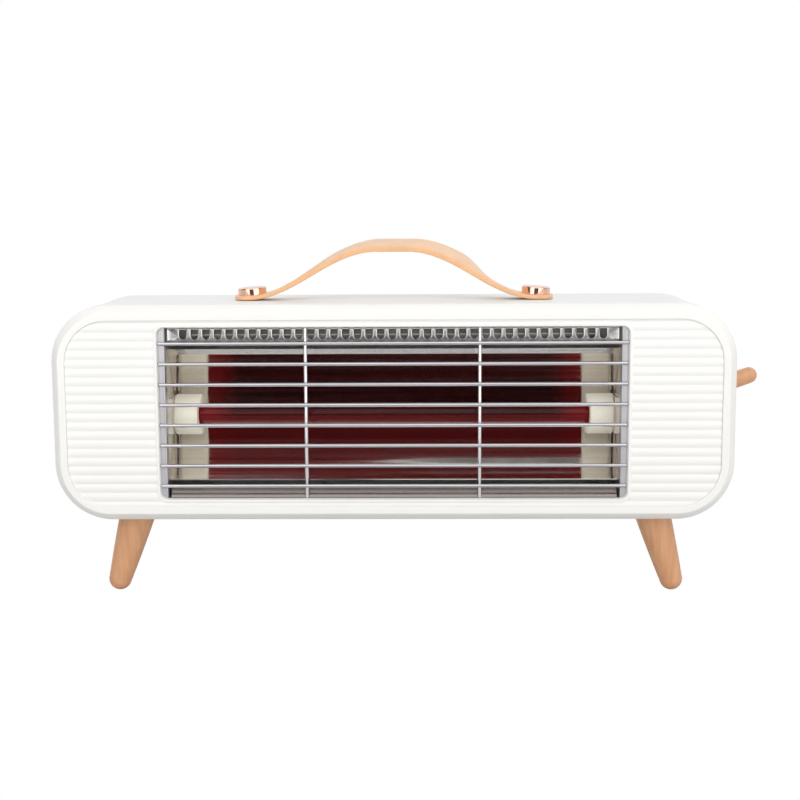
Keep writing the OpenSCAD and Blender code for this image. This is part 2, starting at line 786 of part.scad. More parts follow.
lead_d = 2.4;
lead_y = shield_y + 10;
function lamp_route(side, way) = [
    [side*(cap_end_x + 0.5), tube_y, tube_z],
    [side*(cavity_x + 3), tube_y + 1, tube_z],
    [side*(shield_x - 2), tube_y + 8, tube_z],
    [side*(shield_x + 2), tube_y + 10, tube_z],
    [side*(shield_x + 2), lead_y - 4, tube_z - 8],
    [side*(shield_x - 10), lead_y, tube_z - 20],
    [block_x + (way + 0.5)*11 + side*10, lead_y, block_z + 3],
    [block_x + (way + 0.5)*11, lead_y + 2, block_z],
    [block_x + (way + 0.5)*11, shield_y + 26, block_z]
];
module lamp_lead_left() { color("white") wire(lamp_route(-1, 0), lead_d); }
module lamp_lead_right() { color("white") wire(lamp_route(1, 2), lead_d); }

module cutout_lead() {
    color("red") wire([
        [cutout_x - 11, shield_y + shield_t + 10.3, tube_z],
        [cutout_x - 14, lead_y + 8, tube_z + 4],
        [cutout_x + 10, lead_y + 14, tube_z + 22],
        [cutout_x + 50, lead_y + 10, tube_z + 26],
        [switch_back_x - 14, lever_y + 4, lever_z + 10],
        [switch_back_x - 7, lever_y, lever_z + 9.2]], lead_d);
}
module switch_lead() {
    color("saddlebrown") wire([
        [switch_back_x - 7, lever_y, lever_z - 9.2],
        [switch_back_x - 13, lever_y + 6, lever_z - 14],
        [100, lead_y + 14, block_z + 20],
        [20, lead_y + 24, block_z + 4],
        [block_x + 16.5, case_d - 7, block_z],
        [block_x + 16.5, shield_y + 30, block_z]], lead_d);
}
module tip_switch_lead() {
    color("steelblue") wire([
        [tip_x + 1, tip_y, tip_pivot_z + 23.4],
        [tip_x + 6, tip_y + 2, tip_pivot_z + 25.5],
        [tip_x + 30, tip_y + 6, tip_pivot_z + 10],
        [tip_x + 50, tip_y + 14, leg_h + 50],
        [block_x - 8, case_d - 8, block_z + 10],
        [block_x + 5.5, case_d - 7, block_z],
        [block_x + 5.5, shield_y + 30, block_z]], lead_d);
}

// ---- Mains inlet ----

inlet_bore_d = 7;
module inlet_bush() {
    flange_d = 17;
    color("whitesmoke") difference() {
        union() {
            round_y(inlet_x, inlet_z, back_plate_y - 4, case_d, inlet_hole_d - 0.1);
            round_y(inlet_x, inlet_z, case_d, case_d + bush_out, flange_d);
            round_y(inlet_x, inlet_z, back_plate_y - 4, back_plate_y - 1.5, inlet_hole_d + 2);
        }
        round_y(inlet_x, inlet_z, back_plate_y - 5, case_d + bush_out + 1, inlet_bore_d);
    }
}

module cord_clamp() {
    y0 = back_plate_y - 20;
    color("dimgray") difference() {
        block(inlet_x - 10, inlet_x + 10, y0, y0 + 8, housing_floor, inlet_z + 6);
        round_y(inlet_x, inlet_z, y0 - 1, y0 + 9, inlet_bore_d);
    }
}

// ---- Strap handle ----

// Height of the strap's underside above the case. The foot of the arch is tighter than its top.
foot_curl = 0.8;
function strap_rise(x) =
    let (t = max(0, min(1, (arch_x - abs(x))/(arch_x - arch_top_x))))
    arch_h*(1 - cos(180*pow(t, foot_curl)))/2;
strap_steps = 60;
function strap_edge(side) = [for (i = [0:strap_steps])
    let (x = -strap_end_x + 2*strap_end_x*i/strap_steps,
         step = 0.5,
         slope = (strap_rise(x + step) - strap_rise(x - step))/(2*step),
         n = unit([-slope, 1]))
    [x, strap_rise(x) + strap_t/2] + side*strap_t/2*n];

bolt_shank_d = 5;
module strap_handle() {
    end_r = 7;
    color("burlywood") translate([0, strap_y, housing_top]) difference() {
        intersection() {
            rotate([90, 0, 0]) translate([0, 0, -strap_w/2]) linear_extrude(strap_w)
                polygon(concat(strap_edge(-1), [for (i = [strap_steps:-1:0]) strap_edge(1)[i]]));
            translate([0, 0, -1]) linear_extrude(arch_h + 10) rounded_rect(2*strap_end_x, strap_w, end_r);
        }
        both_sides() translate([bolt_x, 0, -1]) cylinder(d = bolt_shank_d + 0.2, h = 10, $fn = fine_fn);
    }
}

module strap_bolt() {
    edge = 1.3;
    r = bolt_head_d/2;
    head = concat([[0, 0], [r - 0.4, 0], [r, 0.4]],
        arc([r - edge, bolt_head_h - edge], edge, 0, 90, 6), [[0, bolt_head_h]]);
    color("rosybrown") translate([bolt_x, strap_y, housing_top + strap_t]) {
        rotate_extrude($fn = round_fn) polygon(head);
        translate([0, 0, -strap_t - housing_t - 6]) cylinder(d = bolt_shank_d, h = strap_t + housing_t + 6.5, $fn = fine_fn);
    }
}
module strap_bolt_left() { left_side() strap_bolt(); }
module strap_bolt_right() { strap_bolt(); }

module strap_nuts() {
    color("silver") both_sides() translate([bolt_x, strap_y, housing_top - housing_t]) difference() {
        union() {
            translate([0, 0, -1]) cylinder(d = 12, h = 1, $fn = fine_fn);
            translate([0, 0, -5]) cylinder(d = 9, h = 4 + eps, $fn = 6);
        }
        translate([0, 0, -6]) cylinder(d = bolt_shank_d, h = 8, $fn = fine_fn);
    }
}

// ---- Legs ----

// Where the four legs meet the case, as [x, y]
leg_places = [[front_leg_x, front_leg_y], [rear_leg_x, rear_leg_y]];
module at_legs() {
    for (place = leg_places) both_sides() translate([place[0], place[1], leg_h]) children();
}

// Turns a shape drawn along +Z onto the leaning axis of a right-hand leg
module leg_axis() {
    rotate([0, -leg_lean, 0]) children();
}

stud_d = 6;
stud_in_leg = 16;
foot_flat_rise = 6.2;
module leg(place) {
    foot_r = leg_foot_d/2;
    top_r = leg_top_d/2;
    length = (leg_h - foot_flat_rise)/cos(leg_lean);
    overlap = 6;
    outline = concat(arc([0, -length], foot_r, 270, 360, 10),
        [[top_r*cos(leg_lean) + overlap*(top_r - foot_r)/length, overlap], [0, overlap]]);
    color("burlywood") translate([place[0], place[1], 0]) difference() {
        intersection() {
            translate([0, 0, leg_h]) leg_axis() rotate_extrude($fn = round_fn) polygon(outline);
            translate([-60, -60, 0]) cube([120, 120, leg_h]);
        }
        translate([0, 0, leg_h]) leg_axis() translate([0, 0, -stud_in_leg - 0.5])
            cylinder(d = stud_d, h = stud_in_leg + 10, $fn = fine_fn);
    }
}
module leg_front_left() { left_side() leg(leg_places[0]); }
module leg_front_right() { leg(leg_places[0]); }
module leg_rear_left() { left_side() leg(leg_places[1]); }
module leg_rear_right() { leg(leg_places[1]); }

// One stud in each leg, with a nut inside the case
module leg_studs() {
    nut_z = 6.4;
    color("silver") at_legs() leg_axis() {
        translate([0, 0, -stud_in_leg]) cylinder(d = stud_d, h = stud_in_leg + nut_z + 6, $fn = fine_fn);
        translate([0, 0, nut_z]) cylinder(d = 11, h = 4.5, $fn = 6);
    }
}

// ---- Every node ----

placed() front_bezel();
placed() front_panel();
placed() rear_housing();
placed() case_screws();
placed() guard_plate_left();
placed() guard_plate_right();
for (i = [1:bar_count])
    placed() guard_bar(i);
placed() guard_upright_left();
placed() guard_upright_right();
placed() vent_strip();
placed() bottom_lip();
placed() reflector();
placed() cavity_side_left();
placed() cavity_side_right();
placed() heat_shield();
placed() shield_screws();
placed() quartz_tube();
placed() heating_coil();
placed() ceramic_cap_left();
placed() ceramic_cap_right();
placed() cap_bracket_left();
placed() cap_bracket_right();
placed() thermal_cutout();
placed() terminal_block();
placed() switch_body();
placed() switch_bush();
placed() switch_collar();
placed() toggle_arm();
placed() lever_peg();
placed() tip_switch_bracket();
placed() tip_microswitch();
placed() tip_pivot_pin();
placed() tip_weight();
placed() lamp_lead_left();
placed() lamp_lead_right();
placed() cutout_lead();
placed() switch_lead();
placed() tip_switch_lead();
placed() inlet_bush();
placed() cord_clamp();
placed() strap_handle();
placed() strap_bolt_left();
placed() strap_bolt_right();
placed() strap_nuts();
placed() leg_front_left();
placed() leg_front_right();
placed() leg_rear_left();
placed() leg_rear_right();
placed() leg_studs();
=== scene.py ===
"""A retro radiant heater: a rounded cream case on wooden legs, with a leather strap, a wooden lever
and a ruby quartz tube before a mirror. Lengths are in millimetres from the middle of the case's
front, with X to the right, Y backwards and Z up from the floor, and at() turns them into metres."""
import json
import math

import bmesh
import bpy
from mathutils import Matrix, Vector
from mathutils.geometry import delaunay_2d_cdt


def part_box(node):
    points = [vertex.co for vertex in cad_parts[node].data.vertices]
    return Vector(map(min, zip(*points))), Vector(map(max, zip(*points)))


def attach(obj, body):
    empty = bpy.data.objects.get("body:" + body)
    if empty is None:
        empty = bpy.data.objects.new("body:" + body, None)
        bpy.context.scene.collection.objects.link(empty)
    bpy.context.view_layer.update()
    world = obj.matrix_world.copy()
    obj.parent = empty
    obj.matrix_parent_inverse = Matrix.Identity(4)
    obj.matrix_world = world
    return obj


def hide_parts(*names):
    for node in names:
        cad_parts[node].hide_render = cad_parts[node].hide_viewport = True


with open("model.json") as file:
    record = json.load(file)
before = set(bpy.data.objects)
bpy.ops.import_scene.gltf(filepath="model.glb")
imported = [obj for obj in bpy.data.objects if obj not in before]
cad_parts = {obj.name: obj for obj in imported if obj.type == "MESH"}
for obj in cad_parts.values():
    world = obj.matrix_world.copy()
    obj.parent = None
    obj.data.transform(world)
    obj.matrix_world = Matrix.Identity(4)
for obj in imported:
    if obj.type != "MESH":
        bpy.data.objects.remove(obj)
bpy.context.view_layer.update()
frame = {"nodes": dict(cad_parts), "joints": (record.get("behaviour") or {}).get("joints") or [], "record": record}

MM = 0.001
BODY = "heater"
front_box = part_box("front_bezel")
ORIGIN = Vector(((front_box[0].x + front_box[1].x) / 2, front_box[0].y, 0))


def at(x, y, z):
    return ORIGIN + Vector((x, y, z)) * MM


def span(node):
    """Lowest and highest corner of a CAD node, in millimetres."""
    return [(corner - ORIGIN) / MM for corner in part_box(node)]


# ---- Measures taken from the frame ----

bezel_lo, bezel_hi = span("front_bezel")
CASE_HALF_W = bezel_hi.x
CASE_HALF_H = (bezel_hi.z - bezel_lo.z) / 2
CASE_Z = (bezel_hi.z + bezel_lo.z) / 2
BEZEL_D = bezel_hi.y
housing_hi = span("rear_housing")[1]
CASE_D = housing_hi.y
HOUSING_STEP = CASE_HALF_W - housing_hi.x
HOUSING_TOP = housing_hi.z
plate_lo, plate_hi = span("guard_plate_right")
PLATE_GAP = 0.2  # between a guard plate and the window's edge
WINDOW_HALF_W = plate_hi.x + PLATE_GAP
WINDOW_TOP = plate_hi.z + PLATE_GAP
WINDOW_BOTTOM = plate_lo.z - PLATE_GAP
WINDOW_Z = (WINDOW_TOP + WINDOW_BOTTOM) / 2
WINDOW_HALF_H = (WINDOW_TOP - WINDOW_BOTTOM) / 2
tube_lo, tube_hi = span("quartz_tube")
TUBE_Y = (tube_lo.y + tube_hi.y) / 2
TUBE_Z = (tube_lo.z + tube_hi.z) / 2
TUBE_R = (tube_hi.y - tube_lo.y) / 2
cap_lo, cap_hi = span("ceramic_cap_right")
strap_lo, strap_hi = span("strap_handle")
COIL_REACH = 104  # half the coil's length; beyond it the glass is painted lighter, as painted light passing straight through
lever_joint = next(j for j in frame["joints"] if j["name"] == "lever_toggle")

# ---- Shapes ----


def arc(centre, radius, start, end, steps):
    """Points on an arc from one angle to another, in degrees."""
    angles = [math.radians(start + (end - start) * i / steps) for i in range(steps + 1)]
    return [(centre[0] + radius * math.cos(a), centre[1] + radius * math.sin(a)) for a in angles]


def corner_width(over, radius):
    """How far a round corner reaches in its own width, at a distance over from its centre."""
    return radius - math.sqrt(max(0, radius**2 - max(0, over) ** 2))


def eased(share):
    """A share from 0 to 1 with a soft start and a soft end."""
    share = max(0, min(1, share))
    return share * share * (3 - 2 * share)


QUARTERS = ((1, 1), (-1, 1), (-1, -1), (1, -1))  # the corners, from the upper right


class Shape:
    """Closed solids in millimetres, gathered into one mesh."""

    def __init__(self):
        self.points = []
        self.faces = []

    def add(self, points, faces):
        base = len(self.points)
        self.points += [tuple(p) for p in points]
        self.faces += [tuple(base + i for i in face) for face in faces]
        return self

    def loft(self, rings, closed=False, ends=True):
        """A skin over rings of equally many points."""
        n, count = len(rings[0]), len(rings)
        faces = []
        for i in range(count if closed else count - 1):
            j = (i + 1) % count
            faces += [(i * n + k, i * n + (k + 1) % n, j * n + (k + 1) % n, j * n + k) for k in range(n)]
        if ends and not closed:
            faces += [tuple(range(n)), tuple((count - 1) * n + k for k in range(n))]
        return self.add([p for ring in rings for p in ring], faces)

    def turned(self, profile, origin, axis, steps=64, closed=False):
        """A solid of revolution. The profile holds (radius, distance along the axis)."""
        axis = Vector(axis).normalized()
        side = axis.cross(Vector((0, 1, 0) if abs(axis.y) < 0.9 else (1, 0, 0))).normalized()
        other = axis.cross(side)
        turns = [2 * math.pi * k / steps for k in range(steps)]
        rings = [
            [Vector(origin) + axis * h + (side * math.cos(a) + other * math.sin(a)) * r for a in turns]
            for r, h in profile
        ]
        return self.loft(rings, closed=closed)

    def along_x(self, section, x0, x1, steps=1, shift=None):
        """A section of (depth, height) drawn out along X. shift moves its points by a wave."""
        rings = []
        for i in range(steps + 1):
            x = x0 + (x1 - x0) * i / steps
            rings.append([(x, y + (shift(x, z) if shift else 0), z) for y, z in section])
        return self.loft(rings)

    def box(self, lo, hi):
        (x0, y0, z0), (x1, y1, z1) = lo, hi
        ring = [(x0, y0), (x1, y0), (x1, y1), (x0, y1)]
        return self.loft([[(x, y, z) for x, y in ring] for z in (z0, z1)])

    def swept(self, path, radius, sides=12):
        """A round wire along a path."""
        path = [Vector(p) for p in path]
        rings = []
        side = None
        for i, p in enumerate(path):
            ahead = (path[min(i + 1, len(path) - 1)] - path[max(i - 1, 0)]).normalized()
            if side is None:
                side = ahead.cross(Vector((0, 0, 1) if abs(ahead.z) < 0.9 else (1, 0, 0)))
            side = (side - ahead * side.dot(ahead)).normalized()
            other = ahead.cross(side)
            turns = [2 * math.pi * k / sides for k in range(sides)]
            rings.append([p + (side * math.cos(a) + other * math.sin(a)) * radius for a in turns])
        return self.loft(rings)

    def rod(self, start, end, radius, dome=0.6, sides=20):
        """A straight rod with rounded ends."""
        start, end = Vector(start), Vector(end)
        length = (end - start).length
        tip = arc((radius - dome, length - dome), dome, 0, 90, 5)
        tail = arc((radius - dome, dome), dome, -90, 0, 5)
        return self.turned([(0, 0), *tail, *tip, (0, length)], start, end - start, sides)

    def round_rect(self, profile, half_w, half_h, radius, centre_z, steps=28):
        """Carries a section of (inset, depth) round a rounded rectangle seen from the front."""
        rings = []
        for quarter, (side, rise) in enumerate(QUARTERS):
            cx, cz = (half_w - radius) * side, centre_z + (half_h - radius) * rise
            for i in range(steps + 1):
                a = math.radians(90 * (quarter + i / steps))
                rings.append([
                    (cx + (radius - inset) * math.cos(a), y, cz + (radius - inset) * math.sin(a))
                    for inset, y in profile
                ])
        return self.loft(rings, closed=True)

    def rim(self, loop, profile, place):
        """A closed section of (growth, depth) carried round a loop."""
        rings = [[place(u, v, depth) for u, v in loop(growth)] for growth, depth in profile]
        return self.loft(rings, closed=True)

    def pierced(self, outline, holes, near, far, edge, place):
        """A plate between two depths. The outline and the holes are functions of their growth,
        and their edges on the near side are rounded."""
        inward = 1 if far > near else -1
        fillet = [
            (edge * (1 - math.sin(a)), near + inward * edge * (1 - math.cos(a)))
            for a in (math.radians(90 * i / 4) for i in range(5))
        ]
        for growth, depth in ((edge, near), (0, far)):
            self.filled([outline(-growth), *[hole(growth) for hole in holes]], depth, place)
        for loop, sign in [(outline, -1), *[(hole, 1) for hole in holes]]:
            levels = [*fillet, (0, far)]
            rings = [[place(u, v, depth) for u, v in loop(sign * growth)] for growth, depth in levels]
            self.loft(rings, ends=False)
        return self

    def filled(self, loops, depth, place):
        """A flat face inside the first loop and outside the others, which are convex."""
        points, edges, owner = [], [], []
        for index, loop in enumerate(loops):
            base = len(points)
            points += [Vector(p) for p in loop]
            edges += [(base + i, base + (i + 1) % len(loop)) for i in range(len(loop))]
            owner += [index] * len(loop)
        found = delaunay_2d_cdt(points, edges, [], 1, 1e-6)
        home = [owner[origins[0]] if origins else 0 for origins in found[3]]
        kept = [f for f in found[2] if len({home[i] for i in f}) > 1 or home[f[0]] == 0]
        return self.add([place(p.x, p.y, depth) for p in found[0]], kept)


def facing_front(u, v, depth):
    return (u, depth, v)


def facing_side(u, v, depth):
    return (depth, u, v)


def loop_round(*corners):
    """A loop of arcs round corners of (u, v, radius, start, end, steps), for any growth."""

    def loop(growth):
        arcs = [arc((u, v), r + growth, start, end, steps) for u, v, r, start, end, steps in corners]
        return [point for part in arcs for point in part]

    return loop


def slot_loop(u, v, half_w, half_h, steps=8):
    """An upright slot with round ends."""
    rise = half_h - half_w
    return loop_round((u, v + rise, half_w, 0, 180, steps), (u, v - rise, half_w, 180, 360, steps))


def circle_loop(u, v, radius, steps=32):
    return loop_round((u, v, radius, 0, 360 - 360 / steps, steps - 1))


def rect_loop(u, v, half_w, half_h, radius, steps=10):
    """A rectangle with round corners."""
    across, up = half_w - radius, half_h - radius
    return loop_round(*[
        (u + across * side, v + up * rise, radius, 90 * k, 90 * k + 90, steps)
        for k, (side, rise) in enumerate(QUARTERS)
    ])


def cut(target, tool):
    """Takes one solid away from another and applies the result."""
    cutter = bpy.data.objects.new("cutter", mesh_of("cutter", tool))
    bpy.context.scene.collection.objects.link(cutter)
    step = target.modifiers.new("cut", "BOOLEAN")
    step.object = cutter
    step.solver = "EXACT"
    bpy.context.view_layer.update()
    done = target.evaluated_get(bpy.context.evaluated_depsgraph_get())
    mesh = bpy.data.meshes.new_from_object(done)
    target.modifiers.clear()
    target.data = mesh
    bpy.data.objects.remove(cutter)


def mesh_of(name, shape):
    mesh = bpy.data.meshes.new(name)
    mesh.from_pydata([at(*p) for p in shape.points], [], shape.faces)
    work = bmesh.new()
    work.from_mesh(mesh)
    bmesh.ops.remove_doubles(work, verts=work.verts, dist=0.004 * MM)
    bmesh.ops.dissolve_degenerate(work, edges=work.edges, dist=0.002 * MM)
    bmesh.ops.recalc_face_normals(work, faces=work.faces)
    work.to_mesh(mesh)
    work.free()
    return mesh


def piece(name, shape, slot, stands_for=(), body=BODY, sharp=40, bevel=0, minus=None, finish=None):
    """Makes a piece of the object from a shape, with the body it rides on and the finish of its
    slot, unless another is given."""
    mesh = mesh_of(name, shape)
    obj = bpy.data.objects.new(name, mesh)
    bpy.context.scene.collection.objects.link(obj)
    if minus:
        cut(obj, minus)
    obj.data.name = name
    obj.data.materials.clear()
    obj.data.materials.append(finish or FINISHES[slot])
    obj.data.shade_smooth()
    obj.data.set_sharp_from_angle(angle=math.radians(sharp))
    if bevel:
        rounding = obj.modifiers.new("rounding", "BEVEL")
        rounding.width = bevel * MM
        rounding.segments = 3
        rounding.limit_method = "ANGLE"
        rounding.angle_limit = math.radians(sharp)
    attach(obj, body)
    if stands_for:
        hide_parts(*([stands_for] if isinstance(stands_for, str) else stands_for))
    return obj


SIDES = (("left", -1), ("right", 1))


# ---- Materials ----


class Nodes:
    """Short ways to add to a node tree."""

    def node(self, kind, **settings):
        made = self.tree.nodes.new(kind)
        for name, value in settings.items():
            if name in made.inputs.keys():
                made.inputs[name].default_value = value
            else:
                setattr(made, name, value)
        return made

    def link(self, source, target):
        self.tree.links.new(source, target)

    def maths(self, operation, first, second=0):
        made = self.node("ShaderNodeMath", operation=operation)
        for socket, value in zip(made.inputs, (first, second)):
            if isinstance(value, (int, float)):
                socket.default_value = value
            else:
                self.link(value, socket)
        return made.outputs[0]

    def ramp(self, source, low, high, start=0.35, end=0.65, **settings):
        """A value spread between two others, as the source goes from start to end."""
        made = self.node("ShaderNodeMapRange", **settings)
        for index, value in enumerate((start, end, low, high)):
            made.inputs[index + 1].default_value = value
        self.link(source, made.inputs[0])
        return made.outputs[0]


class Finish(Nodes):
    """A Principled material and the textures that vary it."""

    def __init__(self, slot, colour, roughness, metallic=0.0, **values):
        self.material = bpy.data.materials.new(slot)
        self.material.use_nodes = True
        self.tree = self.material.node_tree
        self.shader = self.tree.nodes["Principled BSDF"]
        self.set("Base Color", (*colour, 1))
        self.set("Roughness", roughness)
        self.set("Metallic", metallic)
        for name, value in values.items():
            self.set(name.replace("_", " "), value)
        self.colour = colour
        self.place = self.node("ShaderNodeTexCoord").outputs["Object"]
        self.bumps = None

    def set(self, socket, value):
        self.shader.inputs[socket].default_value = value

    def stretched(self, scale):
        """Coordinates in millimetres, divided by one length or by a length for each axis."""
        lengths = scale if isinstance(scale, tuple) else (scale,) * 3
        mapping = self.node("ShaderNodeMapping")
        mapping.inputs["Scale"].default_value = [1 / (MM * length) for length in lengths]
        self.link(self.place, mapping.inputs["Vector"])
        return mapping.outputs["Vector"]

    def noise(self, scale, detail=3.0, distortion=0.0):
        made = self.node("ShaderNodeTexNoise", Scale=1.0, Detail=detail, Distortion=distortion)
        self.link(self.stretched(scale), made.inputs["Vector"])
        return made.outputs["Fac"]

    def cells(self, scale):
        made = self.node("ShaderNodeTexVoronoi", Scale=1.0, feature="SMOOTH_F1")
        self.link(self.stretched(scale), made.inputs["Vector"])
        return made.outputs["Distance"]

    def colours(self, source, stops):
        """A colour ramp of (position, colour)."""
        made = self.node("ShaderNodeValToRGB")
        elements = made.color_ramp.elements
        while len(elements) < len(stops):
            elements.new(0.5)
        for element, (position, colour) in zip(elements, stops):
            element.position = position
            element.color = (*colour, 1)
        self.link(source, made.inputs["Fac"])
        self.link(made.outputs["Color"], self.shader.inputs["Base Color"])

    def tints(self, source, *stops):
        """Lighter and darker shares of the finish's own colour: (position, share)."""
        self.colours(source, [(position, tinted(self.colour, share)) for position, share in stops])

    def axis(self, index):
        axes = self.node("ShaderNodeSeparateXYZ")
        self.link(self.place, axes.inputs[0])
        return axes.outputs[index]

    def beyond(self, start, end):
        """0 up to one distance from the middle of the case and 1 from another, sideways."""
        aside = self.maths("SUBTRACT", self.axis(0), ORIGIN.x)
        return self.ramp(self.maths("ABSOLUTE", aside), 0, 1, start * MM, end * MM)

    def below(self, start, end, most):
        """0 above one height and its greatest value below another."""
        return self.ramp(self.axis(2), most, 0, end * MM, start * MM)

    def blend(self, body, colour, share):
        """Turns the base colour towards another one where the share is 1."""
        mix = self.node("ShaderNodeMix", data_type="RGBA")
        self.link(share, mix.inputs[0])
        self.link(body, mix.inputs[6])
        mix.inputs[7].default_value = (*colour, 1)
        self.link(mix.outputs[2], self.shader.inputs["Base Color"])
        return mix.outputs[2]

    def rough(self, source, low, high):
        self.link(self.ramp(source, low, high), self.shader.inputs["Roughness"])

    def bump(self, source, height):
        """Raises the surface by a height in millimetres where the source is 1."""
        made = self.node("ShaderNodeBump", Distance=height * MM)
        self.link(source, made.inputs["Height"])
        if self.bumps:
            self.link(self.bumps, made.inputs["Normal"])
        self.bumps = made.outputs["Normal"]
        self.link(self.bumps, self.shader.inputs["Normal"])


def tinted(colour, share):
    return tuple(c * share for c in colour)


def moulded_plastic(slot, colour, roughness):
    """Satin plastic: a faint cloudiness and the fine grain of the mould."""
    finish = Finish(slot, colour, roughness, IOR=1.5)
    cloud = finish.noise(45, 2)
    finish.tints(cloud, (0.3, 0.985), (0.7, 1))
    grain = finish.noise(0.5, 4)
    finish.rough(grain, roughness - 0.05, roughness + 0.05)
    finish.bump(grain, 0.006)
    return finish


def polished_metal(slot, colour, roughness, streak=60, dull=0.08, dent=0.004):
    """Plated or polished metal with faint streaks and a slight unevenness."""
    finish = Finish(slot, colour, roughness, 1.0)
    streaks = finish.noise(streak, 4, 0.4)
    finish.tints(streaks, (0.3, 0.9), (0.7, 1))
    finish.rough(streaks, roughness, roughness + dull)
    finish.bump(finish.noise(6, 2), dent)
    return finish


def sheet_metal(slot, colour, roughness, metallic=0.85):
    """Rolled sheet: long fine scratches and stains."""
    finish = Finish(slot, colour, roughness, metallic)
    stain = finish.noise(14, 5, 0.8)
    finish.tints(stain, (0.25, 0.72), (0.55, 1), (0.8, 1.12))
    scratch = finish.noise((12, 12, 0.25), 3)
    finish.rough(scratch, roughness - 0.08, roughness + 0.12)
    finish.bump(scratch, 0.01)
    return finish


def fired_ceramic(slot, colour):
    """Unglazed steatite: chalky, with small specks."""
    finish = Finish(slot, colour, 0.55, IOR=1.5)
    speck = finish.noise(0.9, 5)
    finish.tints(speck, (0.25, 0.86), (0.42, 1), (0.75, 1.02))
    finish.bump(speck, 0.03)
    return finish


def plain_plastic(slot, colour, roughness):
    """Matt moulded plastic or rubber."""
    finish = Finish(slot, colour, roughness, IOR=1.48)
    mottle = finish.noise(2, 4)
    finish.tints(mottle, (0.3, 0.85), (0.7, 1))
    finish.rough(mottle, roughness - 0.06, roughness + 0.08)
    finish.bump(finish.noise(0.4, 3), 0.012)
    return finish


def ruby_glass(slot):
    """Ruby quartz, drawn lengthwise, so its fine streaks run along X. Its lower half is painted lighter,
    as painted light from the front and below, and beyond the ends of the coil it is painted lighter, as painted
    light passing straight through the glass."""
    # clear is the painted light red, laid on the lower half and beyond the coil's ends.
    deep, bright, clear = (0.018, 0.006, 0.007), (0.12, 0.006, 0.008), (0.30, 0.010, 0.014)
    finish = Finish(slot, deep, 0.05, IOR=1.46)
    finish.set("Transmission Weight", 0.45)
    finish.set("Specular IOR Level", 0.02)
    streaks = finish.noise((160, 0.5, 0.5), 4, 0.2)
    finish.colours(streaks, [(0.36, deep), (0.5, tinted(bright, 0.6)), (0.66, bright)])
    body = finish.shader.inputs["Base Color"].links[0].from_socket
    # Painted light: the lower half of the tube is painted lighter, for the light that falls on it from the front
    # and below.
    body = finish.blend(body, clear, finish.below(TUBE_Z + 2, TUBE_Z - 3, 0.6))
    # Painted light: beyond the coil's ends the glass is painted lighter, as light passing straight through.
    finish.blend(body, clear, finish.beyond(COIL_REACH - 14, COIL_REACH + 2))
    finish.rough(streaks, 0.03, 0.12)
    finish.bump(streaks, 0.01)
    return finish


def mirror(slot):
    """Anodised reflector sheet, polished along its length."""
    finish = Finish(slot, (0.94, 0.915, 0.885), 0.05, 1.0)
    rolled = finish.noise((220, 3, 3), 4, 0.3)
    finish.tints(rolled, (0.3, 0.88), (0.7, 1))
    finish.rough(rolled, 0.05, 0.15)
    finish.bump(finish.noise((90, 26, 26), 2), 0.02)
    return finish


def lacquered_wood(slot):
    """Smooth tan beech, grained along its length under a thin lacquer."""
    dark, middle, light = (0.60, 0.29, 0.145), (0.66, 0.335, 0.168), (0.71, 0.38, 0.20)
    finish = Finish(slot, middle, 0.42, IOR=1.5)
    finish.set("Coat Weight", 0.25)
    finish.set("Coat Roughness", 0.25)
    grain = finish.noise((3.2, 3.2, 42), 5, 0.6)
    finish.colours(grain, [(0.3, dark), (0.5, middle), (0.72, light)])
    pores = finish.noise((0.35, 0.35, 6), 4)
    finish.rough(pores, 0.36, 0.5)
    finish.bump(pores, 0.015)
    return finish


def leather(slot, colour, crease):
    """Smooth vegetable-tanned hide: fine pebbling, pores and a soft cloudiness."""
    finish = Finish(slot, colour, 0.5, IOR=1.46)
    finish.set("Sheen Weight", 0.15)
    finish.set("Sheen Roughness", 0.5)
    cloud = finish.noise(16, 4, 0.5)
    finish.tints(cloud, (0.3, 0.9), (0.55, 1), (0.8, 1.06))
    pebble = finish.cells(0.8)
    finish.rough(pebble, 0.44, 0.58)
    finish.bump(pebble, crease)
    finish.bump(finish.noise(0.25, 3), crease / 2)
    return finish


def rough_iron(slot):
    """Cast iron with small pits."""
    finish = Finish(slot, (0.22, 0.22, 0.23), 0.6, 0.7)
    pit = finish.noise(1.1, 6)
    finish.colours(pit, [(0.3, (0.13, 0.12, 0.12)), (0.7, (0.26, 0.26, 0.27))])
    finish.bump(pit, 0.08)
    return finish


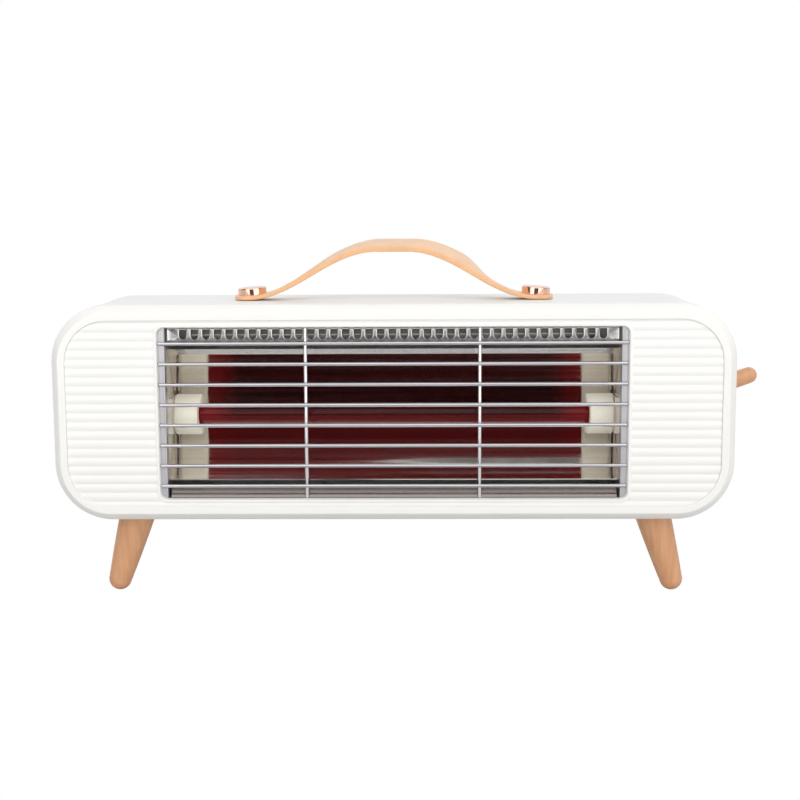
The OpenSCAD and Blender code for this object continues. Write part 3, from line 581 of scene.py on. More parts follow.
FINISHES = {
    slot: make(slot, *values).material
    for slot, make, *values in (
        ("cream_plastic", moulded_plastic, (0.89, 0.881, 0.848), 0.42),
        ("white_plastic", moulded_plastic, (0.84, 0.852, 0.86), 0.40),
        ("zinc_steel", polished_metal, (0.70, 0.71, 0.72), 0.28),
        ("silver_plate", polished_metal, (0.62, 0.61, 0.63), 0.36, 60, 0.06),
        ("chrome_wire", polished_metal, (0.58, 0.565, 0.59), 0.12, (40, 1.2, 1.2)),
        ("chrome_strip", polished_metal, (0.60, 0.585, 0.58), 0.16, (50, 3, 3), 0.08, 0.012),
        ("polished_reflector", mirror),
        ("warm_sheet", sheet_metal, (0.78, 0.71, 0.60), 0.5, 0.25),
        ("galvanised_sheet", sheet_metal, (0.50, 0.50, 0.49), 0.45),
        ("ruby_quartz", ruby_glass),
        ("resistance_wire", polished_metal, (0.30, 0.27, 0.25), 0.4),
        ("cream_ceramic", fired_ceramic, (0.92, 0.875, 0.75)),
        ("beige_bracket", fired_ceramic, (0.80, 0.75, 0.68)),
        ("phenolic", plain_plastic, (0.33, 0.20, 0.10), 0.5),
        ("white_ceramic", fired_ceramic, (0.86, 0.86, 0.84)),
        ("black_plastic", plain_plastic, (0.03, 0.03, 0.03), 0.5),
        ("tan_wood", lacquered_wood),
        ("grey_iron", rough_iron),
        ("lead_white", plain_plastic, (0.80, 0.79, 0.75), 0.55),
        ("lead_red", plain_plastic, (0.50, 0.04, 0.03), 0.55),
        ("lead_brown", plain_plastic, (0.16, 0.06, 0.03), 0.55),
        ("lead_blue", plain_plastic, (0.04, 0.13, 0.36), 0.55),
        ("tan_leather", leather, (0.86, 0.56, 0.35), 0.02),
        ("rose_gold", polished_metal, (0.95, 0.58, 0.43), 0.05, 60, 0.03, 0.002),
    )
}

# Finishes for pieces that differ from the rest of their slot
# Painted light: a lighter copy of the wire chrome, so the uprights are painted brighter than the long wires.
upright_painted_light_chrome = polished_metal("chrome_wire_painted_light_upright", (0.96, 0.94, 0.96), 0.2, (1.2, 1.2, 40)).material
# Painted shade: a darker copy of the strip chrome, for the lip that lies in shade under the mirror.
painted_shade_chrome = polished_metal("chrome_strip_painted_shade_lip", (0.245, 0.213, 0.20), 0.22, (50, 3, 3)).material
# Painted shade: a dark copy of the warm sheet, standing in for the shade behind the vent's slots.
vent_painted_shade = sheet_metal("warm_sheet_painted_shade", (0.17, 0.16, 0.125), 0.6, 0.2).material
leather_edge = leather("tan_leather_edge", (0.84, 0.48, 0.25), 0.01).material


def finish_cad_nodes():
    """Gives every CAD node that stays in view the finish of its slot."""
    for part in frame["record"]["subparts"]:
        node = frame["nodes"][part["node"]]
        node.data.materials.clear()
        node.data.materials.append(FINISHES[part["material_slot"]])


# ---- Case ----

CORNER_R = 32
RIM_W = 8.4
RIM_INNER_R = 0.5
RIM_EDGE_R = 0.7
SIDE_EDGE_R = 3
BEVEL_R = 27
BEVEL_START = 30
BEVEL_END = 44
WALL = 2.4
PANEL_GAP = 0.08
PANEL_CREST_Y = 0.6
PANEL_BACK_Y = 3.4
LEDGE = 2
JOINT_R = 0.5


def rim_moulding():
    """The bezel: a channel with a broad bevel between its side and its flat front."""
    start, end = math.radians(BEVEL_START), math.radians(BEVEL_END)
    rim_y = RIM_EDGE_R * (1 - math.sin(end))
    bevel_y = rim_y + BEVEL_R * math.sin(end)
    bevel_x = SIDE_EDGE_R * (1 - math.cos(start)) + BEVEL_R * math.cos(start)
    side_y = bevel_y + (SIDE_EDGE_R - BEVEL_R) * math.sin(start)
    rim_x = bevel_x - BEVEL_R * math.cos(end)
    section = (
        arc((JOINT_R, BEZEL_D - JOINT_R), JOINT_R, 90, 180, 4)
        + arc((SIDE_EDGE_R, side_y), SIDE_EDGE_R, 180, 180 + BEVEL_START, 8)
        + arc((bevel_x, bevel_y), BEVEL_R, 181 + BEVEL_START, 180 + BEVEL_END, 12)
        + arc((rim_x + RIM_EDGE_R * math.cos(end), RIM_EDGE_R), RIM_EDGE_R, 188 + BEVEL_END, 270, 5)
        + arc((RIM_W - RIM_INNER_R, RIM_INNER_R), RIM_INNER_R, 270, 360, 6)
        + [(RIM_W, PANEL_BACK_Y), (RIM_W + LEDGE, PANEL_BACK_Y), (RIM_W + LEDGE, PANEL_BACK_Y + LEDGE)]
        + [(RIM_W - WALL, PANEL_BACK_Y + LEDGE), (RIM_W - WALL, WALL), (rim_x + 1.4, WALL)]
        + [(WALL, side_y), (WALL, BEZEL_D)]
    )
    shape = Shape().round_rect(section, CASE_HALF_W, CASE_HALF_H, CORNER_R, CASE_Z, 36)
    piece("rim_moulding", shape, "cream_plastic", "front_bezel", sharp=30)


RIB_PITCH = 5.0
RIB_COUNT = 22
RIB_TOP = 50.75
RIB_RISE = 0.55
RIB_CREST_SHARE = 0.46
RIB_STEPS = 16
WINDOW_R = 4
CORNER_STEPS = 24
LIP_W = 1.6


def ribbed_face():
    """The panel: a curved crest on each rib, a sharp groove below it and a window with a lip."""
    inset = RIM_W + PANEL_GAP
    half_w, half_h = CASE_HALF_W - inset, CASE_HALF_H - inset
    corner = CORNER_R - inset
    top, bottom = CASE_Z + half_h, CASE_Z - half_h
    first = CASE_Z + RIB_TOP - RIB_COUNT * RIB_PITCH

    def depth(z):
        t = (((z - first) / RIB_PITCH) % 1 - 0.5) / RIB_CREST_SHARE
        return PANEL_CREST_Y + RIB_RISE * min(1, t * t)

    def outer(z):
        return half_w - corner_width(abs(z - CASE_Z) - (half_h - corner), corner)

    def inner(z):
        over = min(abs(z - WINDOW_Z) - (WINDOW_HALF_H - WINDOW_R), WINDOW_R)
        return WINDOW_HALF_W - corner_width(over, WINDOW_R)

    heights = {top, bottom, WINDOW_TOP, WINDOW_BOTTOM}
    ribs = int((top - first) / RIB_PITCH + 1)
    heights |= {first + RIB_PITCH * i / RIB_STEPS for i in range(ribs * RIB_STEPS)}
    for end in (-1, 1):
        for i in range(CORNER_STEPS + 1):
            s = math.sin(math.radians(90 * i / CORNER_STEPS))
            heights.add(CASE_Z + end * (half_h - corner + corner * s))
            heights.add(WINDOW_Z + end * (WINDOW_HALF_H - WINDOW_R + WINDOW_R * s))
    rows = []
    for z in sorted(h for h in heights if bottom <= h <= top):
        if not rows or z - rows[-1] > 0.02:
            rows.append(z)
    if top - rows[-1] > 1e-6:
        rows[-1] = top

    points, faces = [], []
    for back in (False, True):
        for z in rows:
            y = PANEL_BACK_Y if back else depth(z)
            points += [(x, y, z) for x in (-outer(z), -inner(z), inner(z), outer(z))]
    rear = 4 * len(rows)
    solid = [not WINDOW_BOTTOM < (low + high) / 2 < WINDOW_TOP for low, high in zip(rows, rows[1:])]
    for i in range(len(rows) - 1):
        a, b = 4 * i, 4 * (i + 1)
        for s in (0, 1, 2) if solid[i] else (0, 2):
            for base in (0, rear):
                faces.append((base + a + s, base + a + s + 1, base + b + s + 1, base + b + s))
        faces += [(a + s, b + s, rear + b + s, rear + a + s) for s in ((0, 3) if solid[i] else range(4))]
        if i and solid[i - 1] != solid[i]:
            faces.append((a + 1, a + 2, rear + a + 2, rear + a + 1))
    for row in (0, 4 * (len(rows) - 1)):
        faces += [(row + s, row + s + 1, rear + row + s + 1, rear + row + s) for s in range(3)]
    shape = Shape().add(points, faces)
    lip = [(0, PANEL_BACK_Y), (0, 1.2)] + arc((0.5, 0.85), 0.5, 180, 270, 4)
    lip += arc((LIP_W - 0.4, 0.75), 0.4, 270, 340, 4) + [(LIP_W + 0.5, 2.85), (LIP_W + 0.5, PANEL_BACK_Y)]
    shape.round_rect(lip, WINDOW_HALF_W + LIP_W, WINDOW_HALF_H + LIP_W, WINDOW_R + LIP_W, WINDOW_Z, 16)
    piece("ribbed_face", shape, "cream_plastic", "front_panel", sharp=28)


HOUSING_T = 2.6
BACK_R = 3
BACK_INSET = HOUSING_STEP + BACK_R + 2
JOINT_GAP = 0.15
TONGUE = 4
TONGUE_STEP = 0.6
SLOT_ROWS = (-30, 30)
SLOT_COUNT = 27
SLOT_PITCH = 8
SLOT_HALF_W = 1.6
SLOT_HALF_H = 10
SCREW_REACH = 16
SCREW_R = 1.4
WELL_R = 3.3
WELL_T = 1.2
WELL_FLOOR_Y = 24
LEVER_SLOT_R = 5.55
LEVER_SLOT_HALF_H = 9.55
COLLAR_SPACE = 0.8
COLLAR_W = 3
COLLAR_T = 0.75
INLET_BORE = 3.5
INLET_SHANK_R = 5.9
inlet_lo, inlet_hi = span("inlet_bush")
INLET_X = (inlet_lo.x + inlet_hi.x) / 2
INLET_Z = (inlet_lo.z + inlet_hi.z) / 2
pivot = (Vector(lever_joint["pos_m"]) - ORIGIN) / MM


def housing_shell():
    """The housing's wall: a tongue inside the bezel, a stepped joint, a rounded back edge and the
    lever's slot."""
    edge, step = HOUSING_STEP + BACK_R, HOUSING_STEP + JOINT_R
    joint_y = BEZEL_D + JOINT_GAP
    section = (
        [(WALL + 0.2, BEZEL_D - TONGUE)]
        + [(step + TONGUE_STEP, BEZEL_D - TONGUE), (step + TONGUE_STEP, joint_y)]
        + arc((step, joint_y + JOINT_R), JOINT_R, 270, 180, 4)
        + arc((edge, CASE_D - BACK_R), BACK_R, 180, 90, 14)
        + [(BACK_INSET, CASE_D), (BACK_INSET, CASE_D - HOUSING_T)]
        + arc((edge, CASE_D - BACK_R), BACK_R - HOUSING_T, 90, 180, 6)
        + [(HOUSING_STEP + HOUSING_T + 1, BEZEL_D + TONGUE)]
    )
    shape = Shape().round_rect(section, CASE_HALF_W, CASE_HALF_H, CORNER_R, CASE_Z, 36)
    slot = slot_loop(pivot.y, pivot.z, LEVER_SLOT_R, LEVER_SLOT_HALF_H, 16)(COLLAR_SPACE)
    tool = Shape().loft([[(x, u, v) for u, v in slot] for x in (CASE_HALF_W - 12, CASE_HALF_W + 4)])
    piece("housing_shell", shape, "white_plastic", "rear_housing", sharp=30, minus=tool)


def housing_back():
    """The back wall: two rows of slots, the inlet's hole and a deep well for each case screw."""
    reach = SCREW_REACH * math.cos(math.radians(45))
    x, z = CASE_HALF_W - CORNER_R + reach, CASE_HALF_H - CORNER_R + reach
    screws = [(sx * x, CASE_Z + sz * z) for sx in (-1, 1) for sz in (-1, 1)]
    holes = [
        slot_loop((i - (SLOT_COUNT - 1) / 2) * SLOT_PITCH, CASE_Z + row, SLOT_HALF_W, SLOT_HALF_H)
        for row in SLOT_ROWS for i in range(SLOT_COUNT)
    ]
    holes += [circle_loop(x, z, WELL_R) for x, z in screws]
    holes.append(circle_loop(INLET_X, INLET_Z, INLET_SHANK_R + 0.1))
    half_w, half_h = CASE_HALF_W - BACK_INSET, CASE_HALF_H - BACK_INSET
    outline = rect_loop(0, CASE_Z, half_w, half_h, CORNER_R - BACK_INSET, 24)
    inside = CASE_D - HOUSING_T
    back = Shape().pierced(outline, holes, CASE_D, inside, 0.5, facing_front)
    sleeve = [(WELL_R, inside), (WELL_R, WELL_FLOOR_Y), (SCREW_R, WELL_FLOOR_Y)]
    sleeve += [(SCREW_R, WELL_FLOOR_Y - 2), (WELL_R + WELL_T, WELL_FLOOR_Y - 2), (WELL_R + WELL_T, inside)]
    for x, z in screws:
        back.turned(sleeve, (x, 0, z), (0, 1, 0), 32, closed=True)
    piece("housing_back", back, "white_plastic", "rear_housing", sharp=30)


def lever_collar():
    """The oval collar round the lever's slot, with a rounded flange on the wall."""
    wall = CASE_HALF_W - HOUSING_STEP
    inside = wall - 3.8
    section = [(0, inside), (0, wall + 0.8)] + arc((0.6, wall + 0.8), 0.6, 162, 90, 4)
    section += arc((COLLAR_W - 1.2, wall + 0.2), 1.2, 90, 0, 5)
    section += [(COLLAR_W, wall), (COLLAR_T, wall), (COLLAR_T, inside)]
    loop = slot_loop(pivot.y, pivot.z, LEVER_SLOT_R, LEVER_SLOT_HALF_H, 20)
    piece("lever_collar", Shape().rim(loop, section, facing_side), "cream_plastic", "switch_collar", sharp=30)


def inlet_collar():
    """The bush that a mains lead would enter by."""
    flange_r = (inlet_hi.z - inlet_lo.z) / 2
    face = inlet_hi.y
    section = [(INLET_BORE, inlet_lo.y)] + arc((INLET_BORE + 0.8, face - 0.8), 0.8, 180, 90, 5)
    section += arc((flange_r - 1.2, face - 1.2), 1.2, 90, 0, 6)
    section += [(flange_r, CASE_D), (INLET_SHANK_R, CASE_D), (INLET_SHANK_R, inlet_lo.y)]
    shape = Shape().turned(section, (INLET_X, 0, INLET_Z), (0, 1, 0), 64, closed=True)
    piece("inlet_collar", shape, "white_plastic", "inlet_bush", sharp=30)


# ---- Guard ----

WIRE_DROP = 0.4
WIRE_SIDES = 24
BEAD_R = 1.15


def guard_wires():
    """Eight long wires, two uprights behind them, and a weld bead at each crossing."""
    crossings = []
    for i in range(1, 9):
        lo, hi = span(f"guard_bar_{i}")
        y, z = (lo.y + hi.y) / 2, (lo.z + hi.z) / 2 - WIRE_DROP
        shape = Shape().rod((lo.x, y, z), (hi.x, y, z), (hi.z - lo.z) / 2, 0.5, WIRE_SIDES)
        piece(f"long_wire_{i}", shape, "chrome_wire", f"guard_bar_{i}", sharp=50)
        crossings.append((y, z))
    bead = arc((0, 0), BEAD_R, -90, 90, 8)
    for side in ("left", "right"):
        node = f"guard_upright_{side}"
        lo, hi = span(node)
        x, y = (lo.x + hi.x) / 2, (lo.y + hi.y) / 2
        shape = Shape().rod((x, y, lo.z), (x, y, hi.z), (hi.x - lo.x) / 2, 0.5, WIRE_SIDES)
        for bar_y, z in crossings:
            shape.turned(bead, (x, (y + bar_y) / 2 + 0.1, z), (0, 1, 0), 16)
        # The uprights wear the painted light copy of the wire chrome.
        piece(f"upright_wire_{side}", shape, "chrome_wire", node, sharp=50, finish=upright_painted_light_chrome)


PLATE_T = 0.9
PLATE_EDGE_R = 0.1
PLATE_SPACE = 0.03


def guard_plates():
    """A flat silver plate at each end, bent back along its inner edge."""
    near, bend_x = plate_lo.y, plate_lo.x
    reach, half = WINDOW_HALF_W - PLATE_SPACE, WINDOW_HALF_H - PLATE_SPACE
    soft = PLATE_EDGE_R
    steps = [1 - math.cos(math.radians(90 * i / 10)) for i in range(11)]
    heights = [-half + WINDOW_R * s for s in steps] + [half - WINDOW_R * s for s in reversed(steps)]
    for side, sign in SIDES:
        rings = []
        for z in heights:
            outer = reach - corner_width(abs(z) - (half - WINDOW_R), WINDOW_R)
            outer = max(outer, bend_x + PLATE_T + soft + 0.2)
            ring = [(outer, near + PLATE_T), (outer, near + soft), (outer - 0.3 * soft, near + 0.3 * soft)]
            ring += [(outer - soft, near)]
            ring += arc((bend_x + PLATE_T, near + PLATE_T), PLATE_T, 270, 180, 6)
            ring += [(bend_x, plate_hi.y), (bend_x + PLATE_T, plate_hi.y), (bend_x + PLATE_T, near + PLATE_T)]
            rings.append([(sign * x, y, WINDOW_Z + z) for x, y in ring])
        piece(f"end_plate_{side}", Shape().loft(rings), "silver_plate", f"guard_plate_{side}", sharp=35)


vent_lo, vent_hi = span("vent_strip")
VENT_T = 0.6
VENT_COUNT = 37
VENT_PITCH = 6.45
VENT_HALF_W = 1.95
VENT_CORNER_R = 0.5
VENT_TOP = vent_hi.z - 1.2
VENT_BOTTOM = vent_lo.z + 1.3
BAFFLE_BEHIND = 2.6
BAFFLE_SHARE = 0.42
BAFFLE_T = 0.5


def vent_slot(x):
    """A slot with a round bottom and a nearly square top."""
    aside, high = VENT_HALF_W - VENT_CORNER_R, VENT_TOP - VENT_CORNER_R
    return loop_round(
        (x, VENT_BOTTOM + VENT_HALF_W, VENT_HALF_W, 180, 360, 12),
        (x + aside, high, VENT_CORNER_R, 0, 90, 3),
        (x - aside, high, VENT_CORNER_R, 90, 180, 3),
    )


def vent_grille():
    """The slotted strip, with a raised rim round each slot and a roof over it."""
    slots = [vent_slot((i - (VENT_COUNT - 1) / 2) * VENT_PITCH) for i in range(VENT_COUNT)]
    near, upper = vent_lo.y, vent_hi.z - 0.65
    outline = rect_loop(0, (vent_lo.z + upper) / 2, vent_hi.x, (upper - vent_lo.z) / 2, 0.7, 4)
    shape = Shape().pierced(outline, slots, near, near + VENT_T, 0.15, facing_front)
    rim = [(0.02, 0.3), (0.02, -0.15), (0.25, -0.35), (0.55, -0.3), (0.75, 0.1)]
    rim = [(growth, near + depth) for growth, depth in rim]
    for slot in slots:
        shape.rim(slot, rim, facing_front)
    shape.box((-vent_hi.x, near + VENT_T, vent_hi.z - VENT_T), tuple(vent_hi))
    piece("vent_grille", shape, "chrome_strip", "vent_strip", sharp=40)


def vent_baffle():
    """A sheet painted dark, as painted shade behind the upper part of the slots, with a hem along its lower edge.
    """
    near = vent_lo.y + BAFFLE_BEHIND
    lower = VENT_BOTTOM + BAFFLE_SHARE * (VENT_TOP - VENT_BOTTOM)
    reach = (VENT_COUNT - 2) / 2 * VENT_PITCH
    sheet = Shape().box((-reach, near, lower), (reach, near + BAFFLE_T, WINDOW_TOP - 0.6))
    # The baffle is painted dark as painted shade.
    piece("vent_baffle", sheet, "warm_sheet", finish=vent_painted_shade)
    hem = arc((near - 0.1, lower), 0.45, 0, 360, 12)[:-1]
    piece("baffle_hem", Shape().along_x(hem, -reach, reach), "galvanised_sheet")


LIP_TURN = 48
LIP_STEPS = 24
LIP_T = 0.6


def rolled_lip():
    """The reflector's lower edge: a bullnose that rolls back under the mirror, in strip chrome painted darker as
    painted shade.
    """
    lo, hi = span("bottom_lip")
    rise = (hi.z - lo.z) / LIP_STEPS
    y, z = lo.y, lo.z
    front, back = [(y, z)], [(y + LIP_T, z)]
    for i in range(LIP_STEPS):
        facing = math.radians(LIP_TURN * ((i + 0.5) / LIP_STEPS) ** 0.3)
        y += rise * math.tan(facing)
        z += rise
        front.append((y, z))
        back.append((y + LIP_T * math.cos(facing), z - LIP_T * math.sin(facing)))
    shape = Shape().along_x(front + back[::-1], lo.x, hi.x, 4)
    piece("rolled_lip", shape, "chrome_strip", "bottom_lip", finish=painted_shade_chrome)


# ---- Heating ----

MIRROR_T = 0.6
MIRROR_TILT = 6.5
MIRROR_END_X = 127.2
MIRROR_LOW = -36.2
MIRROR_HIGH = 34.05
FLANGE = 3.85
FLANGE_BEND = 12
RIPPLE_Z = 73
RIPPLE_RISE = 1.15
RIPPLE_W = 3.4


def mirror_sheet():
    """The parabolic reflector, focused on the tube and looking a little upwards. It is slightly
    wavy from rolling, with a shallow ripple low on the right, and its upper edge is bent back."""
    focal = span("reflector")[1].y - MIRROR_T - TUBE_Y
    tilt = math.radians(MIRROR_TILT)
    out = Vector((-math.cos(tilt), math.sin(tilt)))
    up = Vector((math.sin(tilt), math.cos(tilt)))
    vertex = Vector((TUBE_Y, TUBE_Z)) - out * focal
    steps = 130
    points, aways = [], []
    for i in range(steps + 1):
        s = MIRROR_LOW + (MIRROR_HIGH - MIRROR_LOW) * i / steps
        points.append(vertex + up * s + out * (s * s / (4 * focal)))
        aways.append((up * s / (2 * focal) - out).normalized())
    along = (points[-1] - points[-2]).normalized()
    bend = Matrix.Rotation(math.radians(-FLANGE_BEND), 2)
    points.append(points[-1] + bend @ along * FLANGE)
    aways.append(bend @ aways[-1])
    back = [p + away * MIRROR_T for p, away in zip(points, aways)]
    section = [tuple(p) for p in points + back[::-1]]

    def wave(x, z):
        ripple = eased((x + 70) / 110) * math.exp(-(((z - RIPPLE_Z) / RIPPLE_W) ** 2))
        swell = 0.035 * math.sin(x / 17 + z / 9) + 0.05 * math.sin(x / 41 - z / 13 + 1.3)
        return swell + RIPPLE_RISE * ripple

    shape = Shape().along_x(section, -MIRROR_END_X, MIRROR_END_X, 120, wave)
    piece("mirror_sheet", shape, "polished_reflector", "reflector", sharp=8)


def cavity_walls():
    """The dull sheet at each end of the cavity, with a hole for the lamp's lead."""
    for side, sign in SIDES:
        lo, hi = span(f"cavity_side_{side}")
        near, far = (hi.x, lo.x) if sign < 0 else (lo.x, hi.x)
        middle_y, middle_z = (lo.y + hi.y) / 2, (lo.z + hi.z) / 2
        outline = rect_loop(middle_y, middle_z, (hi.y - lo.y) / 2, (hi.z - lo.z) / 2, 1.5, 4)
        hole = circle_loop(TUBE_Y, TUBE_Z, 4, 24)
        shape = Shape().pierced(outline, [hole], near, far, 0.25, facing_side)
        piece(f"cavity_wall_{side}", shape, "warm_sheet", f"cavity_side_{side}", sharp=35)


def ruby_tube():
    """The quartz tube, open at its ends inside the caps."""
    wall = 1.2
    inner = TUBE_R - wall
    section = [(TUBE_R, tube_lo.x), (TUBE_R, tube_hi.x), (inner, tube_hi.x), (inner, tube_lo.x)]
    shape = Shape().turned(section, (0, TUBE_Y, TUBE_Z), (1, 0, 0), 96, closed=True)
    piece("ruby_tube", shape, "ruby_quartz", "quartz_tube", sharp=50)


COIL_R = 2.6
COIL_WIRE_R = 0.35
COIL_PITCH = 1.9


def wound_coil():
    """The resistance coil, with a straight tail into each cap."""
    lo, hi = span("heating_coil")
    turns = 2 * COIL_REACH / COIL_PITCH
    steps = int(turns * 14)
    path = [(lo.x, TUBE_Y, TUBE_Z), (-COIL_REACH - 2, TUBE_Y, TUBE_Z)]
    for i in range(steps + 1):
        a = 2 * math.pi * turns * i / steps
        r = COIL_R * min(1, i / 10, (steps - i) / 10)
        x = -COIL_REACH + 2 * COIL_REACH * i / steps
        path.append((x, TUBE_Y + r * math.cos(a), TUBE_Z + r * math.sin(a)))
    path += [(COIL_REACH + 2, TUBE_Y, TUBE_Z), (hi.x, TUBE_Y, TUBE_Z)]
    piece("wound_coil", Shape().swept(path, COIL_WIRE_R, 5), "resistance_wire", "heating_coil", sharp=80)


CAP_EDGE_R = 1.8
CAP_CUT_BACK = 1.9


def ceramic_ends():
    """A ceramic cap at each end of the tube, cut back in front of the tube's socket."""
    radius = (cap_hi.z - cap_lo.z) / 2
    length = cap_hi.x - cap_lo.x
    edge = CAP_EDGE_R
    for side, sign in SIDES:
        outline = [(0, 0), (radius - edge, 0)] + arc((radius - edge, edge), edge, 270, 360, 8)
        outline += arc((radius - edge, length - edge), edge, 0, 90, 8) + [(0, length)]
        shape = Shape().turned(outline, (sign * cap_lo.x, TUBE_Y, TUBE_Z), (sign, 0, 0), 96)
        inner = sorted((sign * (cap_lo.x - 2), sign * (cap_lo.x + CAP_CUT_BACK)))
        tool = Shape().box(
            (inner[0], TUBE_Y - radius - 2, TUBE_Z - TUBE_R - 0.2),
            (inner[1], TUBE_Y + TUBE_R, TUBE_Z + TUBE_R + 0.2),
        )
        piece(f"ceramic_end_{side}", shape, "cream_ceramic", f"ceramic_cap_{side}", sharp=35, minus=tool)


BRACKET_T = 0.8


def end_brackets():
    """The beige channel between each cap and the cavity's wall."""
    for side, sign in SIDES:
        lo, hi = span(f"cap_bracket_{side}")
        shape = Shape()
        for near, far in ((lo.x, lo.x + BRACKET_T), (hi.x - BRACKET_T, hi.x))[::sign]:
            shape.box((near, lo.y, lo.z), (far, hi.y, hi.z))
        shape.box((lo.x, lo.y, lo.z), (hi.x, lo.y + BRACKET_T, hi.z))
        piece(f"end_bracket_{side}", shape, "beige_bracket", f"cap_bracket_{side}", bevel=0.2)


# ---- Handle ----

STRAP_T = 2.3
STRAP_MIDDLE_T = 3.2
STRAP_EDGE_R = 0.8
STRAP_LIFT = 0.35
STRAP_TWIST = 11.5
STRAP_SKEW = 9.5
STRAP_END_R = 7
ARCH_H = 27.2
ARCH_MIDDLE_X = -1
ARCH_FOOT_X = 83
ARCH_TOP_X = 8.8


def strap_rise(x):
    """Height of the strap's front edge over its ends: a gentle S up to a long round crest."""
    t = (ARCH_FOOT_X - abs(x - ARCH_MIDDLE_X)) / (ARCH_FOOT_X - ARCH_TOP_X)
    return ARCH_H * (1 - math.cos(math.pi * max(0, min(1, t)))) / 2


def strap():
    """A leather band with softly rounded edges, thicker in the hand. Its arch tips forward and
    leans to the right towards the back."""
    half_w = (strap_hi.y - strap_lo.y) / 2
    soft = STRAP_EDGE_R
    bow = [strap_hi.x - STRAP_END_R * (1 - math.cos(math.radians(90 * i / 12))) for i in range(12)]
    inner = strap_hi.x - STRAP_END_R
    stations = sorted({-x for x in bow} | set(bow) | {inner * i / 60 for i in range(-60, 61)})
    rings = []
    for x in stations:
        slope = strap_rise(x + 0.5) - strap_rise(x - 0.5)
        up = Vector((-slope, 0, 1)).normalized()
        half_t = (STRAP_T + (STRAP_MIDDLE_T - STRAP_T) * eased((72 - abs(x)) / 22)) / 2
        blend = eased((57 - abs(x)) / 22)
        twist = math.radians(STRAP_TWIST) * blend
        skew = math.tan(math.radians(STRAP_SKEW)) * blend
        across = Vector((skew, math.cos(twist), math.sin(twist)))
        above = up * math.cos(twist) + Vector((0, -math.sin(twist), 0))
        reach = max(0.6, half_w - corner_width(abs(x) - inner, STRAP_END_R))
        hinge = Vector((x, strap_lo.y, HOUSING_TOP + STRAP_LIFT + strap_rise(x)))
        hinge += up * half_t
        centre = hinge + across * half_w
        corner = min(soft, reach)
        ring = []
        for quarter, (su, sv) in enumerate(QUARTERS):
            cu, cv = su * (reach - corner), sv * (half_t - soft)
            for u, v in arc((0, 0), 1, 90 * quarter, 90 * quarter + 90, 5):
                ring.append(centre + across * (cu + u * corner) + above * (cv + v * soft))
        rings.append(ring)
    shape = Shape().loft(rings)
    obj = piece("leather_strap", shape, "tan_leather", "strap_handle", sharp=60)
    obj.data.materials.append(leather_edge)
    for face in obj.data.polygons:
        if abs(face.normal.y) > 0.5 or abs(face.normal.x) > 0.92:
            face.material_index = 1


BOLT_TILT = math.radians(4.2)
BOLT_R = 8.1
BOLT_H = 4.7
BOLT_EDGE_R = 0.8
BOLT_FOOT_R = 0.4
BOLT_BASE = HOUSING_TOP + STRAP_T + 0.25


def strap_bolts():
    """Polished rose-gold buttons, tilted as the leather lifts them towards the arch."""
    edge, foot = BOLT_EDGE_R, BOLT_FOOT_R
    outline = [(0, -1.6), (BOLT_R - 2, -1.6), (BOLT_R - 2, 0), (BOLT_R - foot, 0)]
    outline += arc((BOLT_R - foot, foot), foot, 270, 360, 8)
    outline += [(BOLT_R, foot + 0.15), (BOLT_R, BOLT_H - edge - 0.15)]
    outline += arc((BOLT_R - edge, BOLT_H - edge), edge, 0, 90, 10)
    outline += [(BOLT_R * 0.6, BOLT_H + 0.1), (BOLT_R * 0.3, BOLT_H + 0.16), (0, BOLT_H + 0.18)]
    for side, sign in SIDES:
        lo, hi = span(f"strap_bolt_{side}")
        axis = (sign * math.sin(BOLT_TILT), 0, math.cos(BOLT_TILT))
        shape = Shape().turned(outline, ((lo.x + hi.x) / 2, (lo.y + hi.y) / 2, BOLT_BASE), axis, 96)
        piece(f"rose_bolt_{side}", shape, "rose_gold", f"strap_bolt_{side}", sharp=35)


# ---- Legs and lever ----

LEG_LEAN = math.radians(16.4)
LEG_H = bezel_lo.z
LEG_FOOT_R = 6.5
LEG_FOOT_RISE = 6.2
LEG_TOP_R = 10.6
LEG_SWELL = 0.18
LEG_INTO_CASE = 2.2
LEG_STEPS = 14
LEG_PLACES = {"front": (147.8, 25), "rear": (152, 66)}  # aside and back, where a leg meets the case


def legs():
    """Tapered legs that splay outwards, with a round foot. Their tops are hidden in the case."""
    length = (LEG_H - LEG_FOOT_RISE) / math.cos(LEG_LEAN)
    top_r = LEG_TOP_R * math.cos(LEG_LEAN)
    outline = arc((0, -length), LEG_FOOT_R, 270, 360, 16)
    for i in range(1, LEG_STEPS + 1):
        t = i / LEG_STEPS
        radius = LEG_FOOT_R + (top_r - LEG_FOOT_R) * t + LEG_SWELL * math.sin(math.pi * t)
        outline.append((radius, -length * (1 - t)))
    outline += [(top_r, LEG_INTO_CASE), (0, LEG_INTO_CASE)]
    for row, (x, y) in LEG_PLACES.items():
        for side, sign in SIDES:
            axis = (-sign * math.sin(LEG_LEAN), 0, math.cos(LEG_LEAN))
            shape = Shape().turned(outline, (sign * x, y, LEG_H), axis, 72)
            piece(f"wooden_leg_{row}_{side}", shape, "tan_wood", f"leg_{row}_{side}", sharp=50)


LEVER_SLOPE = math.radians(19.3)
LEVER_LEN = 26.5
LEVER_R = 4.95
LEVER_TIP_R = 4.65
LEVER_START = 5.5


def lever_handle():
    """The wooden peg on the switch's arm, with a round tip."""
    outline = [(0, LEVER_START)] + arc((LEVER_R - 0.8, LEVER_START + 0.8), 0.8, 270, 360, 4)
    outline += arc((0, LEVER_LEN), LEVER_TIP_R, 0, 90, 16)
    axis = (math.cos(LEVER_SLOPE), 0, math.sin(LEVER_SLOPE))
    shape = Shape().turned(outline, pivot, axis, 72)
    piece("wooden_lever", shape, "tan_wood", "lever_peg", body="lever", sharp=50)


# ---- Studio ----

CAMERA_BACK = 795.6
CAMERA_UP = 231.1
CAMERA_DOWN = 8.35
CAMERA_LENS = 65.6
CAMERA_SHIFT = 0.00925
CAMERA_RISE = -0.0005
CAMERA_YAW = 1.25
CAMERA_ROLL = -0.33


